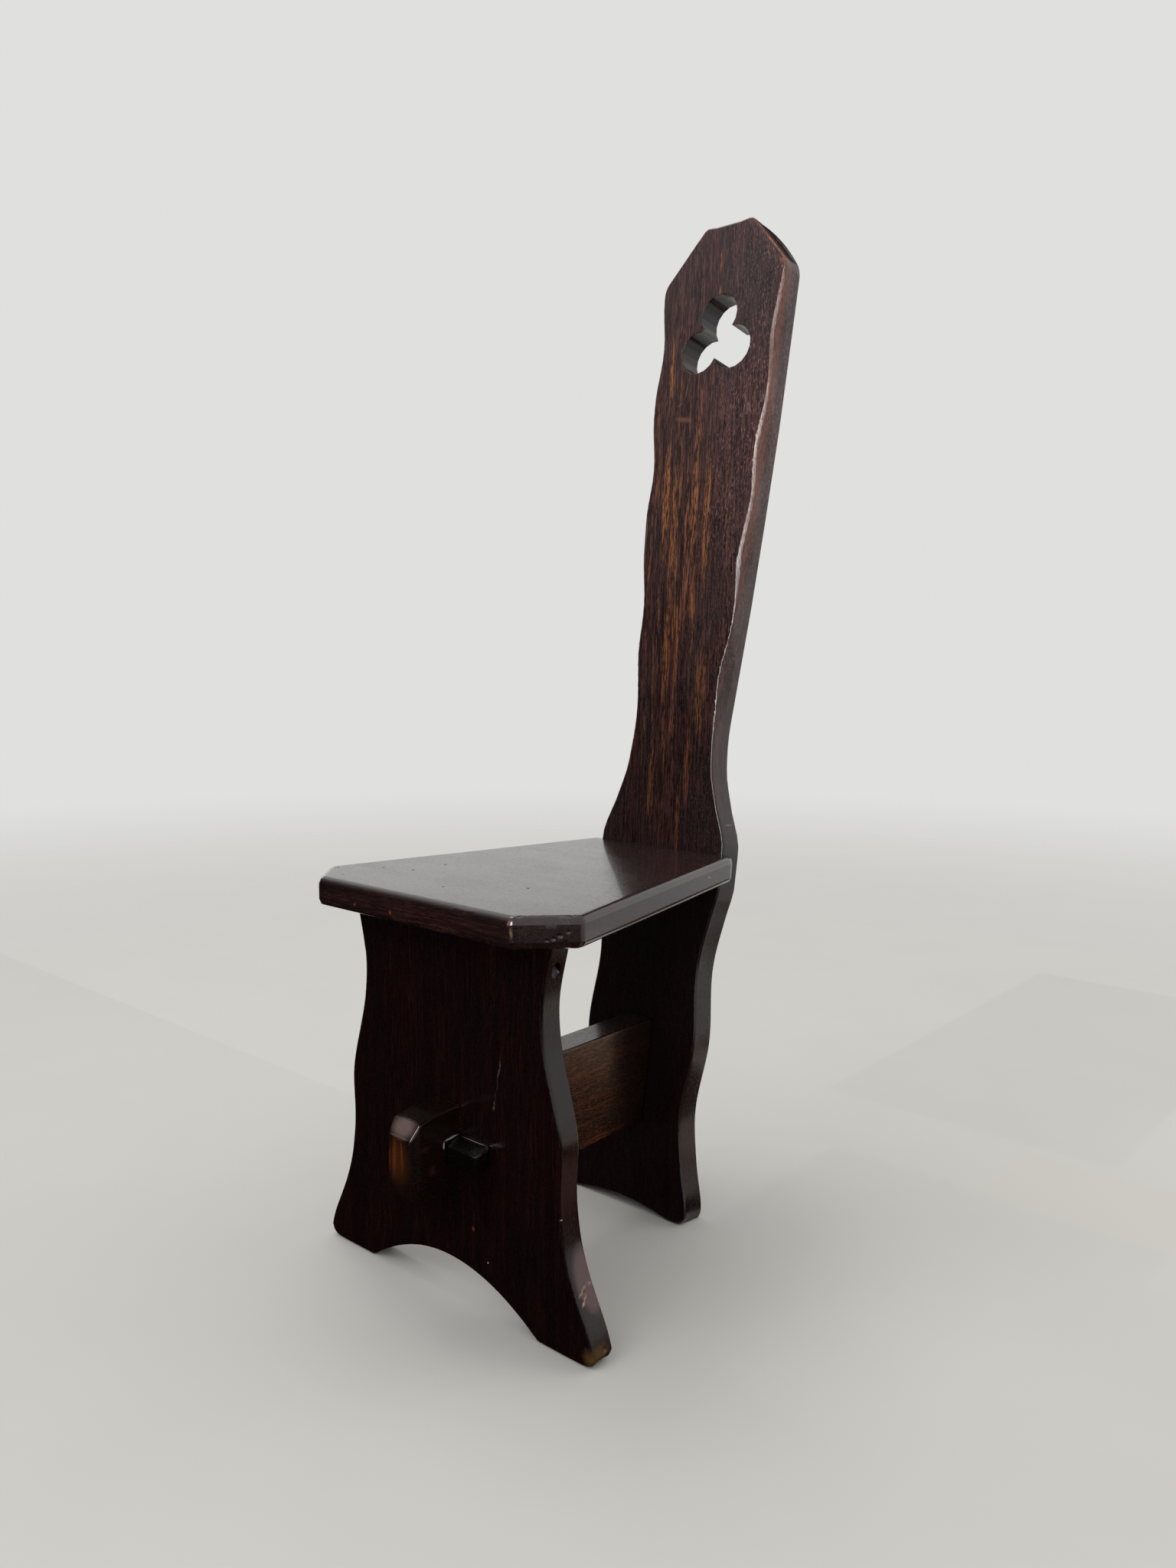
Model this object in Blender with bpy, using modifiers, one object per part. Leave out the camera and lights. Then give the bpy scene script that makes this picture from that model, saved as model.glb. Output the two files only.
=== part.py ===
"""A low chair for sitting at a spinning wheel, built of five shaped boards and pegs.

One tall plank is both the rear leg and the back. A vertical board is the front leg.
A stretcher on edge joins the two, and its front tenon passes right through the front
leg, where a tapered peg wedges it. The seat lies on the front leg and butts the plank.
Units are metres, +Z is up, and the chair's front faces -Y.
"""

import math

import bmesh
import bpy
from mathutils import Vector

# Fit between pieces that touch, and how far every cutter overruns what it cuts
JOINT_GAP = 0.0003
CUT_OVERRUN = 0.02

# Seat board
SEAT_HEIGHT = 0.385
SEAT_THICKNESS = 0.028
SEAT_DEPTH = 0.358
SEAT_WIDTH = 0.333
SEAT_NOSE_WIDTH = 0.252
SEAT_REAR_WIDTH = 0.193
SEAT_CLIP_DEPTH = 0.043
SEAT_OVERHANG = 0.046
SEAT_CORNER_RADIUS = 0.009
SEAT_ARRIS = 0.0065

# Back plank, which leans back and stands on its own two toes
BACK_LEAN = math.radians(9.3)
PLANK_LENGTH = 1.081
PLANK_THICKNESS = 0.031
PLANK_FOOT_WIDTH = 0.174
PLANK_ANKLE_WIDTH = 0.131
PLANK_CALF_WIDTH = 0.1475
PLANK_KNEE_WIDTH = 0.135
PLANK_SEAT_WIDTH = 0.167
PLANK_WAIST_WIDTH = 0.111
PLANK_SHOULDER_WIDTH = 0.162
PLANK_TOP_WIDTH = 0.061
PLANK_GABLE_HEIGHT = 0.059
PLANK_TOP_SAG = 0.0012
PLANK_SHOULDER_RADIUS = 0.022
PLANK_CORNER_RADIUS = 0.009
PLANK_TOE_RADIUS = 0.013
PLANK_ARCH_SPAN = 0.124
PLANK_ARCH_RISE = 0.0075
PLANK_ARRIS = 0.0026

# Places of the plank's stations: below the seat as shares of the seat's distance along
# the plank, and above it as shares of the stretch from seat to shoulder
PLANK_FOOT_SHARE = 0.045
PLANK_ANKLE_SHARE = 0.295
PLANK_CALF_SHARE = 0.487
PLANK_KNEE_SHARE = 0.672
PLANK_FLARE_SHARE = 0.845
PLANK_SEAT_LOW_SHARE = 0.905
PLANK_SEAT_HIGH_SHARE = 0.005
PLANK_DROP_SHARE = 0.08
PLANK_HOLLOW_SHARE = 0.143
PLANK_WAIST_SHARE = 0.195
PLANK_RIB_SHARES = (0.27, 0.43, 0.62, 0.745, 0.9)
PLANK_RIB_WIDTH_SHARES = (0.12, 0.42, 0.69, 0.83, 0.94)
PLANK_FLARE_WIDTH_SHARE = 0.67
PLANK_DROP_WIDTH_SHARE = 0.46
PLANK_HOLLOW_WIDTH_SHARE = 0.075
PLANK_FOOT_EASE_SHARE = 0.155
PLANK_FOOT_EASE_WIDTH_SHARE = 0.4

# Hand-cut hollows along the front arris of the back: place and depth down each edge. Each is
# a facet that runs from the drawn-in arris back over the side, widest where it is deepest
SCALLOP_DEPTH = 0.0062
SCALLOP_LENGTH = 0.122
SCALLOP_WIDTH = 0.018
SCALLOP_NARROW_WIDTH = 0.0048
SCALLOP_RIGHT_SHARES = ((0.295, 0.95), (0.507, 0.8), (0.69, 0.9), (0.885, 0.75))
SCALLOP_LEFT_SHARES = ((0.25, 0.45), (0.423, 0.8), (0.668, 1.0), (0.885, 1.0))
SCALLOP_EDGE_SHARE = 0.72

# How the drawknife left the gable's two slopes: hollow at the front, full at the rear
GABLE_RIGHT_HOLLOW = 0.0035
GABLE_LEFT_HOLLOW = 0.0015
GABLE_REAR_CROWN = 0.004

# Trefoil hand-hold, cut through near the top
TREFOIL_LOBE_RADIUS = 0.0237
TREFOIL_SPREAD = 0.0252
TREFOIL_BELOW_TOP = 0.129

# Front leg board
LEG_THICKNESS = 0.025
LEG_FOOT_WIDTH = 0.3565
LEG_ANKLE_WIDTH = 0.276
LEG_SWELL_WIDTH = 0.28
LEG_WAIST_WIDTH = 0.2335
LEG_TOP_WIDTH = 0.259
LEG_ARCH_SPAN = 0.224
LEG_ARCH_RISE = 0.039
LEG_TOE_RADIUS = 0.011
LEG_ARRIS = 0.0032
LEG_FOOT_SHARE = 0.046
LEG_ANKLE_SHARE = 0.39
LEG_SWELL_SHARE = 0.5
LEG_WAIST_SHARE = 0.82
LEG_FOOT_PLACE_SHARES = (0.112, 0.168, 0.224, 0.283)
LEG_FOOT_SPREAD_SHARES = (0.71, 0.455, 0.25, 0.105)
LEG_NECK_PLACE_SHARES = (0.572, 0.66, 0.74)
LEG_NECK_SPREAD_SHARES = (0.8, 0.4, 0.1)

# Stretcher and its tenons
STRETCHER_THICKNESS = 0.035
STRETCHER_HEIGHT = 0.111
STRETCHER_CLEARANCE = 0.0915
STRETCHER_ARRIS = 0.0022
TENON_HEIGHT = 0.0795
TENON_RISE = 0.017
TENON_PROJECTION = 0.0575
TENON_NOSE_LENGTH = 0.03
TENON_NOSE_DROP = 0.0175
TENON_BEVEL_LENGTH = 0.0095
TENON_BEVEL_DROP = 0.0042
TENON_CHIN_RADIUS = 0.012
TENON_TAPER = 0.003
TENON_TAPER_LENGTH = 0.012
TENON_TAPER_STEPS = 3
STUB_LENGTH = 0.018

# Peg that wedges the through tenon
PEG_HEIGHT = 0.0215
PEG_THICK_END = 0.0185
PEG_THIN_END = 0.0158
PEG_CROWN = 0.0045
PEG_BELOW_TENON_TOP = 0.0275
PEG_HEAD = 0.039
PEG_TAIL = 0.01
PEG_CHAMFER = 0.003
PEG_SLOT_RELIEF = 0.004

# Screws up through the front leg into the seat
POCKET_ANGLE = math.radians(28.0)
POCKET_DIAMETER = 0.0092
POCKET_BELOW_SEAT = 0.028
POCKET_DEPTH = 0.015
POCKET_SCREW_LENGTH = 0.03
POCKET_HEAD_DIAMETER = 0.0078
POCKET_HEAD_HEIGHT = 0.0028

# Screws through the plank into the rear edge of the seat
BACK_SCREW_SPACING = 0.09
BACK_SCREW_LENGTH = 0.06
BACK_HEAD_DIAMETER = 0.0092
BACK_HEAD_HEIGHT = 0.0032

SCREW_SHANK_DIAMETER = 0.0045
SCREW_POINT_LENGTH = 0.006
SCREW_SLOT_WIDTH = 0.0011
SCREW_SLOT_DEPTH = 0.0013

# How finely curved outlines are drawn
EDGE_STEPS = 86
LEG_EDGE_STEPS = 30
ARCH_STEPS = 14
CORNER_STEPS = 5
LOBE_STEPS = 12
SCREW_SIDES = 16
ROUND_SEGMENTS = 2
SHARP_ANGLE = math.radians(30.0)

# Heights and depths that several pieces share; depth is measured from the front leg's face
SEAT_UNDERSIDE = SEAT_HEIGHT - SEAT_THICKNESS
TENON_BOTTOM = STRETCHER_CLEARANCE + TENON_RISE
TENON_TOP = TENON_BOTTOM + TENON_HEIGHT
PLANK_FACE_AT_SEAT = SEAT_DEPTH - SEAT_OVERHANG
PLANK_FACE_AT_FLOOR = PLANK_FACE_AT_SEAT - SEAT_HEIGHT * math.tan(BACK_LEAN)
SEAT_ALONG_PLANK = SEAT_HEIGHT / math.cos(BACK_LEAN)
SHOULDER_ALONG_PLANK = PLANK_LENGTH - PLANK_GABLE_HEIGHT
ALONG_PLANK = Vector((0.0, math.sin(BACK_LEAN), math.cos(BACK_LEAN)))
INTO_PLANK = Vector((0.0, math.cos(BACK_LEAN), -math.sin(BACK_LEAN)))
TOP_ARRIS_AXIS = ALONG_PLANK * (PLANK_LENGTH - PLANK_ARRIS) + INTO_PLANK * (PLANK_THICKNESS - PLANK_ARRIS)
REAR_REACH = PLANK_FACE_AT_FLOOR + TOP_ARRIS_AXIS.y + PLANK_ARRIS
MID_DEPTH = (REAR_REACH - TENON_PROJECTION) / 2


def world_y(depth):
    """Turns a depth behind the front leg's face into a Y with the origin under the middle."""
    return depth - MID_DEPTH


def clear_scene():
    """Removes every object that the scene starts with."""
    for item in list(bpy.data.objects):
        bpy.data.objects.remove(item, do_unlink=True)


def make_collection(name):
    """Makes a collection and links it to the scene."""
    collection = bpy.data.collections.new(name)
    bpy.context.scene.collection.children.link(collection)
    return collection


def make_material(name, colour, roughness, metallic):
    """Makes a plain Principled material."""
    material = bpy.data.materials.new(name)
    material.use_nodes = True
    shader = material.node_tree.nodes["Principled BSDF"]
    shader.inputs["Base Color"].default_value = (*colour, 1.0)
    shader.inputs["Roughness"].default_value = roughness
    shader.inputs["Metallic"].default_value = metallic
    material.diffuse_color = (*colour, 1.0)
    return material


def add_object(name, mesh, collection):
    """Makes an object for a mesh in a collection."""
    item = bpy.data.objects.new(name, mesh)
    collection.objects.link(item)
    return item


def mesh_from_bmesh(name, work):
    """Turns a bmesh into a mesh whose faces point outwards."""
    bmesh.ops.recalc_face_normals(work, faces=work.faces)
    mesh = bpy.data.meshes.new(name)
    work.to_mesh(mesh)
    work.free()
    return mesh


def flat_board_mesh(name, outline, thickness, arris):
    """Fills a closed outline, gives it a thickness, and rounds its long arrises."""
    curve = bpy.data.curves.new(name, "CURVE")
    curve.dimensions = "2D"
    curve.fill_mode = "BOTH"
    curve.extrude = thickness / 2 - arris
    curve.bevel_depth = arris
    curve.bevel_resolution = 1 if arris else 0
    curve.offset = -arris
    curve.render_resolution_u = 0
    spline = curve.splines.new("POLY")
    spline.points.add(len(outline) - 1)
    for point, (x, y) in zip(spline.points, outline):
        point.co = (x, y, 0.0, 1.0)
    spline.use_cyclic_u = True
    holder = bpy.data.objects.new(name, curve)
    bpy.context.scene.collection.objects.link(holder)
    bpy.context.view_layer.update()
    mesh = bpy.data.meshes.new_from_object(holder)
    bpy.data.objects.remove(holder, do_unlink=True)
    work = bmesh.new()
    work.from_mesh(mesh)
    bmesh.ops.remove_doubles(work, verts=work.verts, dist=JOINT_GAP / 10)
    bmesh.ops.recalc_face_normals(work, faces=work.faces)
    work.to_mesh(mesh)
    work.free()
    mesh.name = name
    return mesh


def add_cutter(name, mesh, cutters, location=(0.0, 0.0, 0.0), rotation=(0.0, 0.0, 0.0)):
    """Places a cutter, which shows as wire and never renders."""
    cutter = add_object(name, mesh, cutters)
    cutter.location = location
    cutter.rotation_euler = rotation
    cutter.hide_render = True
    cutter.display_type = "WIRE"
    return cutter


def cut(target, cutter):
    """Takes a cutter's shape out of a piece."""
    modifier = target.modifiers.new(cutter.name, "BOOLEAN")
    modifier.operation = "DIFFERENCE"
    modifier.solver = "EXACT"
    modifier.object = cutter
    return modifier


def box_mesh(name, low, high):
    """Makes a box between two corners."""
    work = bmesh.new()
    bmesh.ops.create_cube(work, size=1.0)
    middle = [(a + b) / 2 for a, b in zip(low, high)]
    size = [b - a for a, b in zip(low, high)]
    bmesh.ops.scale(work, vec=size, verts=work.verts)
    bmesh.ops.translate(work, vec=middle, verts=work.verts)
    return mesh_from_bmesh(name, work)


def smooth_value(stations, place):
    """Reads a smooth curve through stations of place and value, with no overshoot."""
    if place <= stations[0][0]:
        return stations[0][1]
    if place >= stations[-1][0]:
        return stations[-1][1]
    slopes = [(b[1] - a[1]) / (b[0] - a[0]) for a, b in zip(stations, stations[1:])]
    tangents = [slopes[0]]
    for before, after in zip(slopes, slopes[1:]):
        level = before * after <= 0.0
        tangents.append(0.0 if level else 2 * before * after / (before + after))
    tangents.append(slopes[-1])
    index = 0
    while stations[index + 1][0] < place:
        index += 1
    (x0, y0), (x1, y1) = stations[index], stations[index + 1]
    run = x1 - x0
    t = (place - x0) / run
    rise_from = (1 + 2 * t) * (1 - t) ** 2 * y0 + t * (1 - t) ** 2 * run * tangents[index]
    rise_to = t * t * (3 - 2 * t) * y1 + t * t * (t - 1) * run * tangents[index + 1]
    return rise_from + rise_to


def mix(first, second, share):
    """Goes from the first value to the second by a share."""
    return first + (second - first) * share


def arc_points(centre, radii, start, end, steps):
    """Gives the points of an elliptical arc, both ends included."""
    points = []
    for step in range(steps + 1):
        angle = math.radians(start + (end - start) * step / steps)
        x = centre[0] + radii[0] * math.cos(angle)
        y = centre[1] + radii[1] * math.sin(angle)
        points.append((x, y))
    return points


def with_mirror(right_side):
    """Closes a right-hand outline with its mirror image."""
    left_side = [(-x, y) for x, y in reversed(right_side) if abs(x) > JOINT_GAP]
    return right_side + left_side


def points_between(start, end, steps):
    """Gives the points that divide a straight line, both ends left out."""
    shares = [step / steps for step in range(1, steps)]
    return [(mix(start[0], end[0], share), mix(start[1], end[1], share)) for share in shares]


def arch_points(span, rise, steps):
    """Gives the right half of an arch under a board, from its crown to its spring."""
    points = []
    for step in range(steps):
        share = step / steps
        points.append((span / 2 * share, rise * (1 - share * share)))
    return points


def plank_stations():
    """Gives the plank's half widths along its length."""
    seat = SEAT_ALONG_PLANK
    back = SHOULDER_ALONG_PLANK - seat
    waist_to_seat = PLANK_WAIST_WIDTH, PLANK_SEAT_WIDTH
    widths = [
        (seat * PLANK_FOOT_SHARE, PLANK_FOOT_WIDTH),
        (seat * PLANK_FOOT_EASE_SHARE,
         mix(PLANK_ANKLE_WIDTH, PLANK_FOOT_WIDTH, PLANK_FOOT_EASE_WIDTH_SHARE)),
        (seat * PLANK_ANKLE_SHARE, PLANK_ANKLE_WIDTH),
        (seat * PLANK_CALF_SHARE, PLANK_CALF_WIDTH),
        (seat * PLANK_KNEE_SHARE, PLANK_KNEE_WIDTH),
        (seat * PLANK_FLARE_SHARE,
         mix(PLANK_KNEE_WIDTH, PLANK_SEAT_WIDTH, PLANK_FLARE_WIDTH_SHARE)),
        (seat * PLANK_SEAT_LOW_SHARE, PLANK_SEAT_WIDTH),
        (seat + back * PLANK_SEAT_HIGH_SHARE, PLANK_SEAT_WIDTH),
        (seat + back * PLANK_DROP_SHARE, mix(*waist_to_seat, PLANK_DROP_WIDTH_SHARE)),
        (seat + back * PLANK_HOLLOW_SHARE, mix(*waist_to_seat, PLANK_HOLLOW_WIDTH_SHARE)),
        (seat + back * PLANK_WAIST_SHARE, PLANK_WAIST_WIDTH),
    ]
    for place, width in zip(PLANK_RIB_SHARES, PLANK_RIB_WIDTH_SHARES):
        widths.append((seat + back * place, mix(PLANK_WAIST_WIDTH, PLANK_SHOULDER_WIDTH, width)))
    widths.append((SHOULDER_ALONG_PLANK, PLANK_SHOULDER_WIDTH))
    return [(place, width / 2) for place, width in widths]


def plank_outline():
    """Draws the plank flat: arch, toe, waisted edge, shoulder and cut-off gable."""
    stations = plank_stations()
    toe = PLANK_TOE_RADIUS
    toe_x = smooth_value(stations, toe) - toe
    points = arch_points(PLANK_ARCH_SPAN, PLANK_ARCH_RISE, ARCH_STEPS)
    points.append((PLANK_ARCH_SPAN / 2, 0.0))
    points += arc_points((toe_x, toe), (toe, toe), -90.0, 0.0, CORNER_STEPS)
    for step in range(1, EDGE_STEPS + 1):
        place = mix(toe, SHOULDER_ALONG_PLANK, step / EDGE_STEPS)
        points.append((smooth_value(stations, place), place))
    shoulder = points.pop()
    corner = (PLANK_TOP_WIDTH / 2, PLANK_LENGTH)
    top_middle = (0.0, PLANK_LENGTH)
    shoulder_turn = rounded_corner(points[-1], shoulder, corner, PLANK_SHOULDER_RADIUS)
    corner_turn = rounded_corner(shoulder, corner, top_middle, PLANK_CORNER_RADIUS)
    points += shoulder_turn
    points += points_between(shoulder_turn[-1], corner_turn[0], CORNER_STEPS)
    points += corner_turn
    points.append((corner[0] / 2, PLANK_LENGTH - PLANK_TOP_SAG))
    points.append((0.0, PLANK_LENGTH - PLANK_TOP_SAG))
    return with_mirror(points)


def scallop_depth(along, hollows):
    """Gives how deep the front arris is hollowed at a place along the plank."""
    back = SHOULDER_ALONG_PLANK - SEAT_ALONG_PLANK
    deepest = 0.0
    for place_share, depth_share in hollows:
        offset = abs(along - SEAT_ALONG_PLANK - back * place_share) / (SCALLOP_LENGTH / 2)
        if offset < 1.0:
            deepest = max(deepest, SCALLOP_DEPTH * depth_share * math.cos(offset * math.pi / 2) ** 2)
    return deepest


def bisect_all(work, place, normal):
    """Cuts every face of a mesh along a plane and keeps both halves."""
    whole = work.verts[:] + work.edges[:] + work.faces[:]
    bmesh.ops.bisect_plane(work, geom=whole, plane_co=place, plane_no=normal, dist=JOINT_GAP / 10)


def hollow_front_arris(mesh, stations):
    """Cuts the hollows as facets, each from the drawn-in front arris back to its own crease."""
    work = bmesh.new()
    work.from_mesh(mesh)
    crease = PLANK_THICKNESS / 2 - SCALLOP_WIDTH
    bisect_all(work, (0.0, 0.0, crease), (0.0, 0.0, 1.0))
    for vertex in work.verts:
        x, along, height = vertex.co
        on_back = SEAT_ALONG_PLANK < along < SHOULDER_ALONG_PLANK
        if not on_back or abs(x) < smooth_value(stations, along) * SCALLOP_EDGE_SHARE:
            continue
        depth = scallop_depth(along, SCALLOP_RIGHT_SHARES if x > 0.0 else SCALLOP_LEFT_SHARES)
        width = mix(SCALLOP_NARROW_WIDTH, SCALLOP_WIDTH, math.sqrt(depth / SCALLOP_DEPTH))
        if abs(height - crease) < JOINT_GAP:
            vertex.co.z = PLANK_THICKNESS / 2 - width
            continue
        behind = PLANK_THICKNESS / 2 - height
        vertex.co.x -= math.copysign(depth * max(0.0, 1 - behind / width), x)
    work.to_mesh(mesh)
    work.free()


def bow_gable_slopes(mesh):
    """Hollows the gable's slopes along the front arris and crowns them along the rear one."""
    shoulder = Vector((PLANK_SHOULDER_WIDTH / 2, SHOULDER_ALONG_PLANK))
    slope = Vector((PLANK_TOP_WIDTH / 2, PLANK_LENGTH)) - shoulder
    outwards = Vector((slope.y, -slope.x)).normalized()
    for vertex in mesh.vertices:
        x, along, height = vertex.co
        offset = Vector((abs(x), along)) - shoulder
        share = offset.dot(slope) / slope.length_squared
        if not 0.0 < share < 1.0 or abs(offset.dot(outwards)) > PLANK_ARRIS * 2:
            continue
        hollow = GABLE_RIGHT_HOLLOW if x > 0.0 else GABLE_LEFT_HOLLOW
        bow = 4 * share * (1 - share) * mix(GABLE_REAR_CROWN, -hollow, height / PLANK_THICKNESS + 0.5)
        vertex.co.x += math.copysign(outwards.x * bow, x)
        vertex.co.y += outwards.y * bow


def plank_point(along, inside):
    """Gives the world point at a place along the plank and a depth in from its front face."""
    point = ALONG_PLANK * along + INTO_PLANK * inside
    point.y += world_y(PLANK_FACE_AT_FLOOR)
    return point


def trefoil_outline():
    """Draws the three-lobed hand-hold round its own middle."""
    half_side = TREFOIL_SPREAD * math.sin(math.radians(60.0))
    meeting = math.degrees(math.acos(half_side / TREFOIL_LOBE_RADIUS))
    reach = 150.0 - meeting
    points = []
    for lobe in range(3):
        out = 90.0 + 120.0 * lobe
        angle = math.radians(out)
        centre = (TREFOIL_SPREAD * math.cos(angle), TREFOIL_SPREAD * math.sin(angle))
        radii = (TREFOIL_LOBE_RADIUS, TREFOIL_LOBE_RADIUS)
        arc = arc_points(centre, radii, out - reach, out + reach, LOBE_STEPS)
        points += arc[:-1]
    return points


def floor_cutter(cutters):
    """Makes the block that levels the feet with the floor."""
    half = PLANK_LENGTH / 2
    mesh = box_mesh("floor_cut", (-half, -half, -CUT_OVERRUN), (half, half, 0.0))
    return add_cutter("floor_cut", mesh, cutters)


def make_back_plank(parts, cutters, finish):
    """Makes the plank that is rear leg and back in one."""
    mesh = flat_board_mesh("back_plank", plank_outline(), PLANK_THICKNESS, PLANK_ARRIS)
    hollow_front_arris(mesh, plank_stations())
    bow_gable_slopes(mesh)
    plank = add_object("back_plank", mesh, parts)
    plank.rotation_euler = (math.pi / 2 - BACK_LEAN, 0.0, 0.0)
    plank.location = plank_point(0.0, PLANK_THICKNESS / 2)
    mesh.materials.append(finish)

    depth = PLANK_THICKNESS + CUT_OVERRUN
    trefoil = add_cutter("trefoil_cut", flat_board_mesh("trefoil_cut", trefoil_outline(), depth, 0.0),
                         cutters)
    trefoil.rotation_euler = plank.rotation_euler
    trefoil.location = plank_point(PLANK_LENGTH - TREFOIL_BELOW_TOP, PLANK_THICKNESS / 2)
    cut(plank, trefoil)
    cut(plank, floor_cutter(cutters))
    cut(plank, stub_mortise(cutters))
    return plank


def stub_mortise(cutters):
    """Makes the blind mortise that takes the stretcher's rear stub."""
    side = STRETCHER_THICKNESS / 2 + JOINT_GAP
    low = TENON_BOTTOM - JOINT_GAP
    high = TENON_TOP + JOINT_GAP
    entry = PLANK_FACE_AT_FLOOR + low * math.tan(BACK_LEAN) - CUT_OVERRUN
    reach = (STUB_LENGTH + JOINT_GAP) / math.cos(BACK_LEAN)
    end_low = PLANK_FACE_AT_FLOOR + low * math.tan(BACK_LEAN) + reach
    end_high = PLANK_FACE_AT_FLOOR + high * math.tan(BACK_LEAN) + reach
    outline = [(world_y(entry), low), (world_y(end_low), low)]
    outline += [(world_y(end_high), high), (world_y(entry), high)]
    mesh = flat_board_mesh("stub_mortise_cut", outline, side * 2, 0.0)
    return add_cutter("stub_mortise_cut", mesh, cutters, rotation=(math.pi / 2, 0.0, math.pi / 2))


def seat_outline():
    """Draws the seat in plan: clipped nose corners and sides that narrow to the rear."""
    front = world_y(-SEAT_OVERHANG)
    clip = front + SEAT_CLIP_DEPTH
    rear = front + SEAT_DEPTH
    slope = (SEAT_REAR_WIDTH - SEAT_WIDTH) / 2 / (SEAT_DEPTH - SEAT_CLIP_DEPTH)
    beyond = CUT_OVERRUN
    corners = [
        (SEAT_NOSE_WIDTH / 2, front),
        (SEAT_WIDTH / 2, clip),
        (SEAT_REAR_WIDTH / 2 + slope * beyond, rear + beyond),
    ]
    nose_middle = (0.0, front)
    points = rounded_corner(nose_middle, corners[0], corners[1], SEAT_CORNER_RADIUS)
    points += rounded_corner(corners[0], corners[1], corners[2], SEAT_CORNER_RADIUS)
    points.append(corners[2])
    return with_mirror(points)


def rounded_corner(before, corner, after, radius):
    """Gives the points that round one corner of an outline."""
    corner = Vector(corner)
    back = (Vector(before) - corner).normalized()
    on = (Vector(after) - corner).normalized()
    half = back.angle(on) / 2
    start = corner + back * radius / math.tan(half)
    end = corner + on * radius / math.tan(half)
    centre = corner + (back + on).normalized() * radius / math.sin(half)
    points = []
    for step in range(CORNER_STEPS + 1):
        chord = start.lerp(end, step / CORNER_STEPS) - centre
        points.append(tuple(centre + chord.normalized() * radius))
    return points


def make_seat_board(parts, cutters, finish):
    """Makes the seat, whose rear edge is planed to the lean of the plank."""
    mesh = flat_board_mesh("seat_board", seat_outline(), SEAT_THICKNESS, SEAT_ARRIS)
    seat = add_object("seat_board", mesh, parts)
    seat.location = (0.0, 0.0, SEAT_HEIGHT - SEAT_THICKNESS / 2)
    mesh.materials.append(finish)
    half = SEAT_WIDTH
    cutter_mesh = box_mesh("seat_rear_cut", (-half, -half, -JOINT_GAP), (half, half, half))
    behind = add_cutter("seat_rear_cut", cutter_mesh, cutters)
    behind.rotation_euler = (-math.pi / 2 - BACK_LEAN, 0.0, 0.0)
    behind.location = plank_point(SEAT_ALONG_PLANK, 0.0)
    cut(seat, behind)
    return seat


def leg_stations():
    """Gives the front leg's half widths up its height."""
    height = SEAT_UNDERSIDE
    widths = [(height * LEG_FOOT_SHARE, LEG_FOOT_WIDTH)]
    for place, spread in zip(LEG_FOOT_PLACE_SHARES, LEG_FOOT_SPREAD_SHARES):
        widths.append((height * place, mix(LEG_ANKLE_WIDTH, LEG_FOOT_WIDTH, spread)))
    widths.append((height * LEG_ANKLE_SHARE, LEG_ANKLE_WIDTH))
    widths.append((height * LEG_SWELL_SHARE, LEG_SWELL_WIDTH))
    for place, spread in zip(LEG_NECK_PLACE_SHARES, LEG_NECK_SPREAD_SHARES):
        widths.append((height * place, mix(LEG_WAIST_WIDTH, LEG_SWELL_WIDTH, spread)))
    widths.append((height * LEG_WAIST_SHARE, LEG_WAIST_WIDTH))
    widths.append((height, LEG_TOP_WIDTH))
    return [(place, width / 2) for place, width in widths]


def leg_outline():
    """Draws the front leg: arch, flared foot, swell, waist and top."""
    stations = leg_stations()
    toe = LEG_TOE_RADIUS
    toe_x = smooth_value(stations, toe) - toe
    points = arch_points(LEG_ARCH_SPAN, LEG_ARCH_RISE, ARCH_STEPS)
    points.append((LEG_ARCH_SPAN / 2, 0.0))
    points += arc_points((toe_x, toe), (toe, toe), -90.0, 0.0, CORNER_STEPS)
    for step in range(1, LEG_EDGE_STEPS + 1):
        place = mix(toe, SEAT_UNDERSIDE, step / LEG_EDGE_STEPS)
        points.append((smooth_value(stations, place), place))
    above = SEAT_UNDERSIDE + CUT_OVERRUN
    points.append((points[-1][0], above))
    points.append((0.0, above))
    return with_mirror(points)


def make_front_leg(parts, cutters, finish):
    """Makes the front leg board with its mortise and two screw pockets."""
    mesh = flat_board_mesh("front_leg_board", leg_outline(), LEG_THICKNESS, LEG_ARRIS)
    leg = add_object("front_leg_board", mesh, parts)
    leg.rotation_euler = (math.pi / 2, 0.0, 0.0)
    leg.location = (0.0, world_y(LEG_THICKNESS / 2), 0.0)
    mesh.materials.append(finish)

    half = LEG_FOOT_WIDTH
    top = SEAT_UNDERSIDE - JOINT_GAP
    top_mesh = box_mesh("leg_top_cut", (-half, -half, top), (half, half, top + half))
    cut(leg, add_cutter("leg_top_cut", top_mesh, cutters))

    side = STRETCHER_THICKNESS / 2 + JOINT_GAP
    front = world_y(-CUT_OVERRUN)
    rear = world_y(LEG_THICKNESS + CUT_OVERRUN)
    mortise = box_mesh("leg_mortise_cut", (-side, front, TENON_BOTTOM - JOINT_GAP),
                       (side, rear, TENON_TOP + JOINT_GAP))
    cut(leg, add_cutter("leg_mortise_cut", mortise, cutters))
    return leg


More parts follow.
